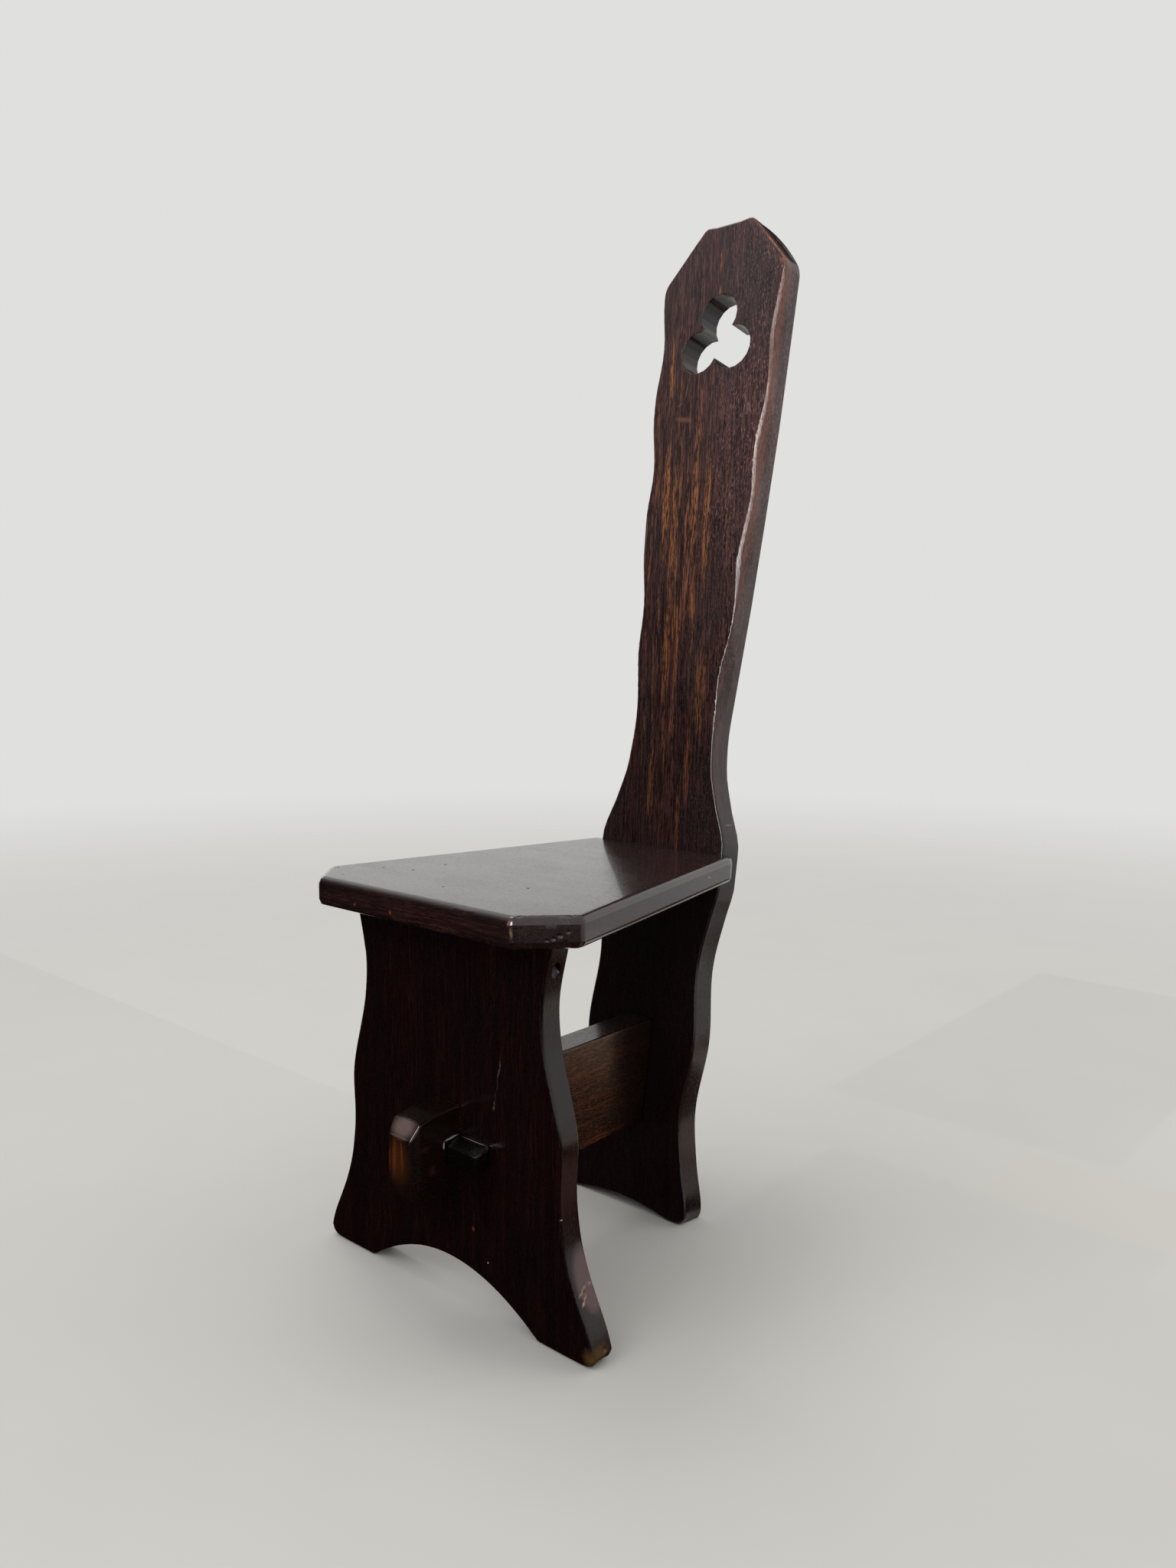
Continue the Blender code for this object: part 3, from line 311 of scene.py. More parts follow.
def varnished_oak(wood, board, turn, figure, marks_and_painted_light):
    """Oak, planed, stained dark and varnished.

    The rings give cloudy dark bands. Bundles of fibres that took less stain give broken
    orange-brown streaks, open pores give short dark dashes, and rubbed varnish a soft shine.
    """
    keys = (f"{board}_colour", f"{board}_dark", f"{board}_streak", "worn_colour")
    ground, dark, streak, worn = [(*getattr(wood, key), 1.0) for key in keys]
    material, tree = new_material(f"varnished_oak_{board}")
    place = node(tree, "place")
    turned = node(tree, "turned", place, turn)
    swayed = jittered(tree, turned, *SWAY)
    rings, bundles, lines, fibres, pits = [
        grain_noise(tree, swayed, *size) for size in (RINGS, BUNDLES, LINES, FIBRES, PITS)]
    stain = grain_noise(tree, turned, *STAIN)
    threads = node(tree, "add", lines, fibres)
    open_pores = node(tree, "ramp", pits, *PORE_LEVELS)

    if "cast" in figure:
        cast = node(tree, "painted", attribute_name="cast")
        ground = node(tree, "mix", cast, ground, rgba(figure["cast"]))
    banded = node(tree, "ramp", rings, *BAND_LEVELS)
    if "dark_stripes" in figure:
        banded = any_of(tree, [banded, stripes(tree, swayed, figure["dark_stripes"])])
    zone = node(tree, "multiply", node(tree, "ramp", bundles, *BUNDLE_LEVELS),
                node(tree, "painted", attribute_name="streaks"))
    if "stripes" in figure:
        zone = any_of(tree, [zone, stripes(tree, swayed, figure["stripes"])])
    thread = streak
    if "pale" in figure:
        thread = node(tree, "mix", zone, rgba(figure["pale"]), streak)
    unstained = node(tree, "multiply_add", zone, figure["streaks"], figure["threads"])

    # Each layer over the ground: its mask, its strength and its tint
    layers = [(banded, figure["bands"], dark),
              (zone, figure.get("glow", 0.0), streak),
              (node(tree, "ramp", threads, *BRIGHT_LEVELS), unstained, thread),
              (node(tree, "ramp", threads, *SHUT_LEVELS), figure["lines"], dark)]
    if "flecks" in figure:
        fleck = node(tree, "multiply", node(tree, "ramp", pits, *FLECK_LEVELS),
                     node(tree, "painted", attribute_name="flecks"))
        layers.append((fleck, figure["flecks"], rgba(figure["fleck_colour"])))
    # The last of these layers is painted shade, read from the board's painted shade values
    layers += [(open_pores, figure["pores"], dark),
               (node(tree, "ramp", stain, *BLOTCH_LEVELS), figure["blotches"], dark),
               (node(tree, "painted", attribute_name="shade"), 1.0, dark)]
    if "edge" in figure:
        layers.append((node(tree, "painted", attribute_name="edge"),
                       node(tree, "ramp", threads, *BARED_LEVELS), rgba(figure["edge"])))
    rub = node(tree, "add", lines, node(tree, "painted", attribute_name="wear"))
    layers.append((node(tree, "ramp", rub, *RUB_LEVELS), 1.0, worn))
    # The marks hold real chips, cracks and wear, and also painted highlights and painted reflections
    reach = figure.get("ragged", RAGGED_REACH) * MILLIMETRE
    ragged = jittered(tree, place, RAGGED_WAVES, (reach, reach, reach))
    for tint, strength, where in marks_and_painted_light:
        layers.append((any_of(tree, [mark(tree, ragged, *one) for one in where]), strength,
                       rgba(tint)))
    colour = ground
    for mask, strength, tint in layers:
        colour = node(tree, "mix", node(tree, "multiply", mask, strength), colour, tint)

    sheen = node(tree, "ramp", stain, *SHEEN_LEVELS, *figure["rough"])
    relief = node(tree, "ramp", node(tree, "painted", attribute_name="smooth"), *RELIEF_LEVELS)
    height = node(tree, "multiply_add", open_pores, -1.0, threads)
    coat, coat_roughness = figure.get("coat", NO_COAT)
    node(tree, "surface", node(tree, "principled", {
        "Base Color": colour,
        "Roughness": node(tree, "multiply_add", open_pores, PORE_ROUGHNESS, sheen),
        "Normal": node(tree, "bump", relief, RELIEF_HEIGHT, height),
        "IOR": VARNISH_IOR, "Coat Weight": coat, "Coat Roughness": coat_roughness,
        "Coat IOR": VARNISH_IOR}))
    return material


# Making a worked board from its solid

def cut_through(work, faces, direction, level):
    """Cuts these faces along one plane, and gives the faces that they then are."""
    edges = dict.fromkeys(edge for face in faces for edge in face.edges)
    verts = dict.fromkeys(vertex for face in faces for vertex in face.verts)
    made = bmesh.ops.bisect_plane(work, geom=list(verts) + list(edges) + list(faces),
                                  dist=MERGE_DISTANCE, plane_co=direction * level,
                                  plane_no=direction)
    return [item for item in made["geom"] if isinstance(item, bmesh.types.BMFace)]


def side_of(face, direction, level):
    """Says whether a face lies below a plane (-1), above it (1) or on both sides of it (0)."""
    reach = [vertex.co.dot(direction) for vertex in face.verts]
    if max(reach) <= level + MERGE_DISTANCE:
        return -1
    return 1 if min(reach) >= level - MERGE_DISTANCE else 0


def slice_between(work, faces, direction, levels):
    """Cuts faces by parallel planes, the middle one first, and then each half alone."""
    if not levels or not faces:
        return
    middle = len(levels) // 2
    sides = {-1: [], 0: [], 1: []}
    for face in faces:
        sides[side_of(face, direction, levels[middle])].append(face)
    if sides[0]:
        for face in cut_through(work, sides[0], direction, levels[middle]):
            above = face.calc_center_median().dot(direction) > levels[middle]
            sides[1 if above else -1].append(face)
    slice_between(work, sides[-1], direction, levels[:middle])
    slice_between(work, sides[1], direction, levels[middle + 1:])


def slice_grid(work, *ways):
    """Cuts a mesh by evenly spaced planes; an arris is cut across and never along its length."""
    for direction, step in ways:
        reach = [vertex.co.dot(direction) for vertex in work.verts]
        low, high = min(reach), max(reach)
        count = max(1, round((high - low) / step))
        levels = [low + (high - low) * index / count for index in range(1, count)]
        strength = work.faces.layers.int[FACE_STRENGTH]
        faces = [face for face in work.faces
                 if face[strength] == STRONG_FACE or abs(longest_way(face).dot(direction)) > 0.6]
        slice_between(work, faces, direction, levels)


def longest_way(face):
    """Gives the direction of a face's longest edge."""
    edge = max(face.edges, key=lambda item: item.calc_length())
    return (edge.verts[1].co - edge.verts[0].co).normalized()


def tell_arrises(work):
    """Marks each face as a wide one, which rules the shading, or as a narrow arris."""
    strength = work.faces.layers.int.get(FACE_STRENGTH) or work.faces.layers.int.new(FACE_STRENGTH)
    for face in work.faces:
        length = max(edge.calc_length() for edge in face.edges)
        wide = face.calc_area() / length > ARRIS_WIDTH
        face[strength] = STRONG_FACE if wide else WEAK_FACE


def finer_copy(name):
    """Copies a solid's mesh, merges its loose triangles and joins those that are flat."""
    work = bmesh.new()
    work.from_mesh(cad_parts[name].data)
    bmesh.ops.remove_doubles(work, verts=work.verts, dist=MERGE_DISTANCE)
    bmesh.ops.dissolve_limit(work, angle_limit=FLAT_ANGLE, verts=work.verts, edges=work.edges)
    tell_arrises(work)
    return work


def soften_rims(work, width, kept=None):
    """Rounds the edges that the solid leaves square, by a narrow bevel."""
    work.normal_update()
    rims = [edge for edge in work.edges
            if edge.is_manifold and edge.calc_face_angle_signed() > RIM_ANGLE
            and (kept is None or kept(edge))]
    if rims:
        bmesh.ops.bevel(work, geom=rims, offset=width, offset_type="OFFSET", affect="EDGES",
                        segments=2, profile=0.5, clamp_overlap=True, material=-1)
        tell_arrises(work)


def arris_share(vertex):
    """Says how much a vertex is on an arris: 0 on a flat, 1 on a corner of 45 degrees or more."""
    normals = [face.normal for face in vertex.link_faces]
    turn = max((a.angle(b, 0.0) for a in normals for b in normals), default=0.0)
    return min(1.0, turn / FULL_ARRIS_ANGLE)


def work_surface(work, planing, wear, grain, seed, rubbed=None):
    """Leaves shallow plane hollows on the faces and rubs the arrises back in long waves."""
    work.normal_update()
    moves = []
    for vertex in work.verts:
        place = vertex.co
        along = grain * place.dot(grain)
        planed = (place - along) * PLANING_ACROSS + along * PLANING_ALONG
        hollow = planing * (0.5 + 0.5 * noise.noise(planed + Vector((seed, 0.0, 0.0))))
        wave = noise.noise(place * WEAR_WAVES + Vector((0.0, seed, 0.0)))
        share = arris_share(vertex) * (rubbed(place) if rubbed else 1.0)
        moves.append(vertex.normal * -(hollow + wear * share * (0.5 + 0.5 * wave)))
    for vertex, move in zip(work.verts, moves):
        vertex.co += move


def dent(work, centre, radius, depth, direction):
    """Presses a small bowl into a face, on a mesh cut finer there first."""
    centre, direction = Vector(centre), Vector(direction).normalized()
    reach = radius * DENT_MARGIN + DENT_NEAR
    near = [face for face in work.faces if (face.calc_center_median() - centre).length < reach]
    step = radius / DENT_CUTS
    count = math.ceil(DENT_CUTS)
    for axis in (ACROSS, FORTH, UP):
        if abs(direction.dot(axis)) > 0.8:
            continue
        for index in range(-count, count + 1):
            level = centre.dot(axis) + index * step
            cut = [face for face in near if side_of(face, axis, level) == 0]
            if cut:
                whole = [face for face in near if side_of(face, axis, level) != 0]
                near = whole + cut_through(work, cut, axis, level)
    for vertex in dict.fromkeys(vertex for face in near for vertex in face.verts):
        share = (vertex.co - centre).length / radius
        if share < 1.0:
            vertex.co += direction * depth * (0.5 + 0.5 * math.cos(math.pi * share))


def paint(work, **painters):
    """Stores values for each vertex; a painter is one number or a function of the vertex."""
    for name, painter in painters.items():
        layer = work.verts.layers.float.get(name) or work.verts.layers.float.new(name)
        for vertex in work.verts:
            vertex[layer] = painter(vertex) if callable(painter) else painter


def sort_faces(work):
    """Puts the faces in one order, because slicing leaves them in another one each run."""
    work.verts.index_update()
    count = len(work.verts)

    def rank(face):
        low, middle, high = sorted(vertex.index for vertex in face.verts)[:3]
        return (low * count + middle) * count + high

    work.faces.sort(key=rank)


def mesh_object(work, name):
    """Turns a worked mesh into an object that stands at the origin."""
    mesh = bpy.data.meshes.new(name)
    work.to_mesh(mesh)
    work.free()
    item = bpy.data.objects.new(name, mesh)
    bpy.context.scene.collection.objects.link(item)
    return item


def finish_board(work, name, node_name, body, material):
    """Makes the worked mesh a piece that stands for its solid and rides with its body."""
    paint(work, smooth=arris_share)
    sort_faces(work)
    board = mesh_object(work, name)
    board.data.materials.append(material)
    board.data.shade_smooth()
    board.data.set_sharp_from_angle(angle=SHARP_ANGLE)
    weighted = board.modifiers.new("weighted_normal", "WEIGHTED_NORMAL")
    weighted.mode = "FACE_AREA"
    weighted.weight = 50
    weighted.keep_sharp = True
    weighted.use_face_influence = True
    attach(board, body)
    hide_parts(node_name)


def rubbed_arrises(seed, local):
    """Gives a painter that wears the arrises in patches, by one share or a share of the place."""
    def value(vertex):
        patch = noise.noise(vertex.co * WEAR_PATCHES + Vector((seed, seed, 0.0)))
        share = local(vertex.co) if callable(local) else local
        return clamp(arris_share(vertex) * share * (PATCH_MIDDLE + patch))
    return value


# Operators, one for each piece

class ChairPlankOperator(bpy.types.Operator):
    """Makes the back plank with its planed face, hollows and hand-hold"""

    bl_idname = "chair.back_plank"
    bl_label = "Back plank"

    def execute(self, context):
        wood = context.scene.chair_wood
        work = finer_copy("back_plank")
        flatten_right_arris(work)
        soften_rims(work, wood.rim_round)
        slice_grid(work, (ALONG_PLANK, 0.006), (ACROSS, 0.007), (INTO_PLANK, 0.007))
        fair_sides(work, INTO_PLANK, lambda place: place.z < 0.33 and abs(place.x) > 0.03)
        work_surface(work, wood.planing_depth, wood.arris_wear, ALONG_PLANK, 4.0, off_trefoil)
        paint(work, wear=rubbed_arrises(2.0, plank_wear), edge=plank_edge, streaks=plank_streaks,
              flecks=plank_flecks, cast=plank_cast, shade=plank_shade)
        material = varnished_oak(
            wood, "plank", (BACK_LEAN, GRAIN_SLANT, 0.0),
            {"streaks": 0.88, "threads": 0.55, "bands": 0.8, "pores": 0.75, "blotches": 0.3,
             "lines": 0.65, "glow": 0.12, "flecks": 0.65, "fleck_colour": "#9c7876",
             "pale": "#6c4540", "cast": "#38191f", "edge": "#7c4f40", "rough": (0.16, 0.26),
             "stripes": in_grain(PLANK_STREAKS), "dark_stripes": in_grain(PLANK_DARK_BANDS)},
            PLANK_MARKS)
        finish_board(work, "back_plank_wood", "back_plank", "chair", material)
        return {"FINISHED"}


TREFOIL_MIDDLE = Vector((0.0, 0.2197, 0.937))
TREFOIL_REACH = 0.05
SHOULDER = Vector((0.06, 0.217, 1.025))
SEAT_TOP = 0.385
# How deep along INTO_PLANK the plank's face lies
PLANK_FACE = 0.0501
# The flat worn on the upper right arris: where it begins and ends, each with its run-out in
# metres, and in millimetres the depths of its two rows of vertices and how far they move
FLAT_BEGINS = (0.62, 0.05)
FLAT_ENDS = (1.012, -0.02)
INNER_DEPTH = 0.3
MIDDLE_DEPTH = 1.5
INNER_SHIFT = 2.0
MIDDLE_SHIFT = 1.2
RIGHT_PART = 0.03
# A stripe in the grain: its middle across the plank and along it from the floor, its half width
# and its half length
PLANK_STREAKS = (
    (-0.006, 0.79, 0.0055, 0.12),
    (0.014, 0.76, 0.006, 0.13),
    (-0.044, 0.78, 0.0075, 0.105),
    (-0.029, 0.735, 0.005, 0.12),
    (-0.02, 0.62, 0.005, 0.09),
    (0.03, 0.572, 0.011, 0.07),
    (0.024, 0.488, 0.005, 0.065),
    (-0.023, 0.462, 0.0065, 0.075),
    (0.019, 0.425, 0.0045, 0.05),
    (-0.04, 0.905, 0.0014, 0.024),
    (0.009, 0.66, 0.004, 0.07),
    (-0.056, 0.93, 0.005, 0.06),
    (-0.005, 1.03, 0.003, 0.04),
)
PLANK_DARK_BANDS = (
    (-0.008, 0.675, 0.0048, 0.185),
    (0.038, 0.745, 0.0075, 0.08),
    (-0.041, 1.025, 0.005, 0.036),
    (0.03, 1.044, 0.006, 0.045),
    (0.06, 1.0, 0.006, 0.04),
    (0.042, 0.88, 0.006, 0.06),
    (-0.03, 0.64, 0.005, 0.06),
    (0.0, 0.47, 0.006, 0.07),
)
PLANK_MARKS = (
    ("#8a5c3c", 0.45, (((-0.033, 0.1906, 0.854), (0.017, 0.006, 0.0042), 0.1, (0.0, 0.2, 0.0)),
                       ((-0.033, 0.1958, 0.885), (0.001, 0.006, 0.016), 0.3, (0.0, 0.06, 0.0)),
                       ((-0.04, 0.1932, 0.8705), (0.0055, 0.006, 0.0012), 0.3, (0.0, -0.5, 0.0)))),
    ("#b5704c", 0.5, (((0.0765, 0.215, 1.01), (0.005, 0.005, 0.006), 0.1, (0.0, 0.3, 0.0)),)),
    ("#a89c98", 0.5, (((0.0765, 0.1355, 0.4132), (0.006, 0.011, 0.0005), 0.4, (-0.1, 0.0, 0.0)),)),
)


def in_grain(rows):
    """Turns places on the plank into the turned frame in which its grain runs upright."""
    slant, upright = math.sin(GRAIN_SLANT), math.cos(GRAIN_SLANT)
    return [(across * upright + along * slant, along * upright - across * slant, width, length)
            for across, along, width, length in rows]


def plank_streaks(vertex):
    """Streaks show most low on the left and up the middle, and fade under the seat."""
    x, _, z = vertex.co
    sideways = math.exp(-((x + 0.018) / 0.045) ** 2)
    upwards = rise(z, 0.34, 0.2, 0.1) * rise(z, 0.99, -0.25, 0.1)
    return (0.15 + 0.65 * sideways) * upwards


def plank_flecks(vertex):
    """Pale flecks of open grain lie thick up the right part of the face."""
    x, _, z = vertex.co
    return clamp(0.3 + x * 14.0) * rise(z, 0.5, 0.25, 0.15)


def plank_cast(vertex):
    """The stain turns purple towards the top and the right of the face."""
    x, _, z = vertex.co
    return clamp(0.35 + x * 9.0 + (z - 0.86) * 4.0)


def plank_shade(vertex):
    """Painted shade: darker towards the seat, near black below it, on the gable's right slope and in
    the hand-hold.
    """
    place = vertex.co
    slope = vertex.normal.x > 0.3 and vertex.normal.z > 0.3
    if place.z < SEAT_TOP or (slope and place.z > 0.98):
        return 0.9
    if (place - TREFOIL_MIDDLE).length < TREFOIL_REACH and abs(vertex.normal.y) < 0.9:
        return 1.0 if arris_share(vertex) > 0.2 else rise(place.z, 0.91, 0.04, 0.3, 0.9)
    return rise(place.z, 0.74, -0.5, 0.0, 0.6)


def plank_wear(place):
    """The gable's right slope and shoulder are rubbed most, and the hand-hold's rim not at all."""
    if (place - TREFOIL_MIDDLE).length < TREFOIL_REACH:
        return 0.0
    return 0.5 + 0.7 * math.exp(-((place - SHOULDER).length / 0.03) ** 2)


def off_trefoil(place):
    """Leaves the rim of the hand-hold as it was cut."""
    return clamp((place - TREFOIL_MIDDLE).length / 0.02 - 2.6)


def flatten_right_arris(work):
    """Wears the upper right arris to a flat, as hands have: its rows move in, and it is split."""
    work.normal_update()
    strength = work.faces.layers.int[FACE_STRENGTH]
    inner, middle = {}, {}
    for vertex in work.verts:
        x, _, z = vertex.co
        share = rise(z, *FLAT_BEGINS) * rise(z, *FLAT_ENDS)
        kinds = {face[strength] for face in vertex.link_faces}
        depth = vertex.co.dot(INTO_PLANK) - PLANK_FACE
        if x < RIGHT_PART or share == 0.0 or WEAK_FACE not in kinds:
            continue
        if depth < INNER_DEPTH * MILLIMETRE and len(kinds) == 2:
            inner[vertex] = share
        elif depth < MIDDLE_DEPTH * MILLIMETRE:
            middle[vertex] = share
    across = [edge for edge in work.edges
              if (edge.verts[0] in inner and edge.verts[1] in middle)
              or (edge.verts[1] in inner and edge.verts[0] in middle)]
    for vertex, share in inner.items():
        vertex.co -= ACROSS * INNER_SHIFT * MILLIMETRE * share
    for vertex, share in middle.items():
        vertex.co += INTO_PLANK * MIDDLE_SHIFT * MILLIMETRE * share
    bmesh.ops.subdivide_edges(work, edges=across, cuts=2, use_grid_fill=True)
    tell_arrises(work)


def plank_edge(vertex):
    """The front half of the right side is rubbed down to brown wood."""
    if vertex.co.x < RIGHT_PART or vertex.normal.x < 0.3 or vertex.co.z < 0.43:
        return 0.0
    depth = vertex.co.dot(INTO_PLANK) - PLANK_FACE
    return rise(vertex.co.z, 0.60, 0.14, 0.12) * clamp(1.5 - depth / 0.0095)


class ChairSeatOperator(bpy.types.Operator):
    """Makes the seat board with its dents and chipped nose"""

    bl_idname = "chair.seat_board"
    bl_label = "Seat board"

    def execute(self, context):
        wood = context.scene.chair_wood
        work = finer_copy("seat_board")
        slice_grid(work, (ACROSS, 0.007), (FORTH, 0.007), (UP, 0.007))
        work_surface(work, wood.planing_depth, wood.arris_wear * 0.6, ACROSS, 9.0)
        paint(work, wear=rubbed_arrises(5.0, 0.52), streaks=0.6, shade=0.0)
        for row in SEAT_DENTS:
            dent(work, *row)
        material = varnished_oak(
            wood, "seat", (0.0, math.pi / 2, 0.0),
            {"streaks": 0.6, "threads": 0.25, "bands": 0.6, "pores": 0.5, "blotches": 0.4,
             "lines": 0.4, "ragged": 1.8, "rough": (0.16, 0.24), "coat": (0.5, 0.08)},
            SEAT_MARKS_AND_HIGHLIGHTS)
        finish_board(work, "seat_board_wood", "seat_board", "chair", material)
        return {"FINISHED"}


DOWN = (0.0, 0.0, -1.0)
BACKWARDS = (0.0, 1.0, 0.0)
INTO_CLIP = (-0.73, 0.69, 0.0)
SEAT_DENTS = (
    ((0.1538, -0.2147, 0.3695), 0.003, 0.0006, INTO_CLIP),
    ((0.15, -0.2187, 0.3668), 0.0024, 0.0005, INTO_CLIP),
    ((0.1582, -0.21, 0.3722), 0.0022, 0.0005, INTO_CLIP),
    ((0.1462, -0.2226, 0.3655), 0.002, 0.0004, INTO_CLIP),
    ((0.156, -0.2125, 0.364), 0.0022, 0.0005, INTO_CLIP),
    ((0.068, -0.2442, 0.378), 0.003, 0.0009, BACKWARDS),
    ((0.095, -0.2442, 0.3677), 0.0024, 0.0006, BACKWARDS),
    ((-0.022, -0.2442, 0.368), 0.0028, 0.0008, BACKWARDS),
    ((-0.0715, -0.2442, 0.3674), 0.002, 0.0006, BACKWARDS),
    ((-0.1182, -0.1727, 0.385), 0.0018, 0.001, DOWN),
    ((-0.0875, -0.161, 0.385), 0.002, 0.001, DOWN),
    ((-0.1178, -0.2215, 0.385), 0.0017, 0.0009, DOWN),
    ((-0.0866, -0.1204, 0.385), 0.0022, 0.0011, DOWN),
    ((-0.0047, -0.1968, 0.385), 0.0018, 0.001, DOWN),
    ((-0.1503, -0.2024, 0.385), 0.0017, 0.0009, DOWN),
    ((0.056, -0.1502, 0.385), 0.0024, 0.0006, DOWN),
)
SEAT_MARKS_AND_HIGHLIGHTS = (
    ("#8a5c4c", 0.7, (((0.1246, -0.244, 0.38), (0.003, 0.003, 0.0038), 0.4, (0.0, 0.4, 0.0)),)),
    ("#7c5a38", 0.7, (((0.1262, -0.2434, 0.3715), (0.0017, 0.003, 0.0056), 0.4, (0.0, -0.1, 0.0)),)),
    ("#0a0505", 0.8, (((0.1292, -0.2408, 0.37), (0.0016, 0.003, 0.011), 0.5),)),
    # Painted highlights in two of the clip's dents
    ("#4a3836", 0.4, (((0.1538, -0.215, 0.3683), (0.003, 0.003, 0.0012), 0.4),
                      ((0.15, -0.219, 0.366), (0.003, 0.003, 0.001), 0.4))),
    ("#8a3a20", 0.6, (((-0.022, -0.2442, 0.3665), (0.0024, 0.002, 0.002), 0.4),
                      ((-0.0715, -0.2442, 0.3664), (0.0018, 0.002, 0.0018), 0.4))),
    ("#cfcac6", 0.8, (((0.1098, 0.0528, 0.3732), (0.003, 0.0012, 0.0008), 0.6),
                      ((0.1103, 0.05, 0.3742), (0.003, 0.0007, 0.0007), 0.6),
                      ((0.1092, 0.0556, 0.3725), (0.003, 0.0008, 0.0006), 0.6))),
)


class ChairLegOperator(bpy.types.Operator):
    """Makes the front leg board with its worn toes"""

    bl_idname = "chair.front_leg"
    bl_label = "Front leg"

    def execute(self, context):
        wood = context.scene.chair_wood
        work = finer_copy("front_leg_board")
        soften_rims(work, wood.rim_round)
        slice_grid(work, (ACROSS, 0.007), (UP, 0.006), (FORTH, 0.008))
        fair_sides(work, FORTH, lambda place: abs(place.x) > 0.08)
        work_surface(work, wood.planing_depth, wood.arris_wear, UP, 13.0, away_from_cuts)
        paint(work, wear=rubbed_arrises(8.0, leg_wear), streaks=0.6, shade=0.0)
        for row in LEG_DENTS:
            dent(work, *row)
        material = varnished_oak(
            wood, "leg", (0.0, 0.0, 0.0),
            {"streaks": 0.55, "threads": 0.25, "bands": 0.6, "pores": 0.4, "blotches": 0.5,
             "lines": 0.4, "rough": (0.18, 0.27)},
            LEG_MARKS_AND_REFLECTIONS)
        finish_board(work, "front_leg_wood", "front_leg_board", "chair", material)
        return {"FINISHED"}


# Below this share a face looks away from its board's front; corners that turn less are faired
FACING_SHARE = 0.99
FAIR_ANGLE = math.radians(20.0)
FAIR_TIMES = 6
FAIR_SHARE = 0.5


def on_side(vertex, facing):
    """Says whether a vertex belongs to any face that doesn't face the board's way."""
    return any(abs(face.normal.dot(facing)) < FACING_SHARE for face in vertex.link_faces)


def fair_sides(work, facing, chosen):
    """Rounds the corners between a board's side facets, as a spokeshave leaves them."""
    work.normal_update()
    chains = {}
    for vertex in work.verts:
        if not chosen(vertex.co) or not on_side(vertex, facing):
            continue
        near = [edge.other_vert(vertex) for edge in vertex.link_edges]
        near = [other for other in near
                if abs((other.co - vertex.co).dot(facing)) < MERGE_DISTANCE
                and on_side(other, facing)]
        if len(near) == 2:
            chains[vertex] = near
    for _ in range(FAIR_TIMES):
        moves = {}
        for vertex, (first, second) in chains.items():
            back, ahead = vertex.co - first.co, second.co - vertex.co
            if min(back.length, ahead.length) > 0.0 and back.angle(ahead) < FAIR_ANGLE:
                moves[vertex] = ((first.co + second.co) / 2 - vertex.co) * FAIR_SHARE
        for vertex, move in moves.items():
            vertex.co += move


STRETCHER_LOW, STRETCHER_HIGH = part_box("stretcher")
MORTISE_MARGIN = 0.012
POCKETS_FROM = 0.31
TOE_HEIGHT = 0.03


def away_from_cuts(place):
    """Leaves the edges of the leg's mortise and pockets as they were cut."""
    near = (abs(place.x) < STRETCHER_HIGH[0] + MORTISE_MARGIN
            and STRETCHER_LOW[2] < place.z < STRETCHER_HIGH[2] + MORTISE_MARGIN)
    return 0.0 if near or place.z > POCKETS_FROM else 1.0


def leg_wear(place):
    """The toes are rubbed most."""
    return 0.56 + 0.2 * max(0.0, 1.0 - place.z / TOE_HEIGHT)


LEG_DENTS = (
    ((0.1683, -0.1984, 0.019), 0.0042, 0.0012, BACKWARDS),
    ((0.1755, -0.196, 0.011), 0.004, 0.0014, (-0.8, 0.6, 0.0)),
    ((0.1765, -0.184, 0.014), 0.0032, 0.001, (-1.0, 0.0, 0.0)),
    ((0.158, -0.187, 0.0585), 0.003, 0.0007, (-0.9, 0.0, -0.4)),
    ((0.0601, -0.1984, 0.1986), 0.002, 0.0008, BACKWARDS),
    ((0.052, -0.1984, 0.0514), 0.0014, 0.0004, BACKWARDS),
    ((-0.169, -0.1984, 0.015), 0.004, 0.001, BACKWARDS),
)
LEG_MARKS_AND_REFLECTIONS = (
    ("#5c4c4c", 0.7, (((0.0672, -0.1984, 0.234), (0.001, 0.003, 0.011), 0.4, (0.0, 0.157, 0.0)),
                      ((0.0605, -0.1984, 0.199), (0.0014, 0.003, 0.006), 0.3, (0.0, 0.1, 0.0)))),
    ("#402c2c", 0.65, (((0.065, -0.1984, 0.224), (0.0009, 0.003, 0.033), 0.3, (0.0, 0.157, 0.0)),)),
    ("#7a4424", 0.7, (((0.0333, -0.1984, 0.0767), (0.002, 0.003, 0.003), 0.2),)),
    ("#b8b8c0", 0.9, (((0.052, -0.1984, 0.0514), (0.001, 0.003, 0.0012), 0.5),
                      ((0.1385, -0.196, 0.1195), (0.0012, 0.002, 0.001), 0.5))),
    ("#c09c78", 0.85, (((0.1575, -0.1865, 0.061), (0.005, 0.011, 0.0012), 0.4, (0.45, 0.0, 0.0)),
                       ((0.1595, -0.19, 0.053), (0.005, 0.0085, 0.0012), 0.4, (0.75, 0.0, 0.0)),
                       ((0.157, -0.1775, 0.0625), (0.005, 0.004, 0.0016), 0.4, (0.2, 0.0, 0.0)))),
    # Painted reflection: a darker band on the right side, where the varnish mirrors something dark
    ("#2c150a", 0.5, (((0.14, -0.18, 0.183), (0.006, 0.02, 0.022), 0.2),)),
    # Painted reflection: pinkish light low on the right side, as from the mirrored floor
    ("#6b5250", 0.6, (((0.156, -0.1805, 0.07), (0.022, 0.0155, 0.08), 0.6, (0.0, 0.25, 0.0)),)),
    ("#6e5128", 0.6, (((0.1745, -0.19, 0.01), (0.014, 0.018, 0.013), 0.2, (0.0, 0.3, 0.0)),)),
)


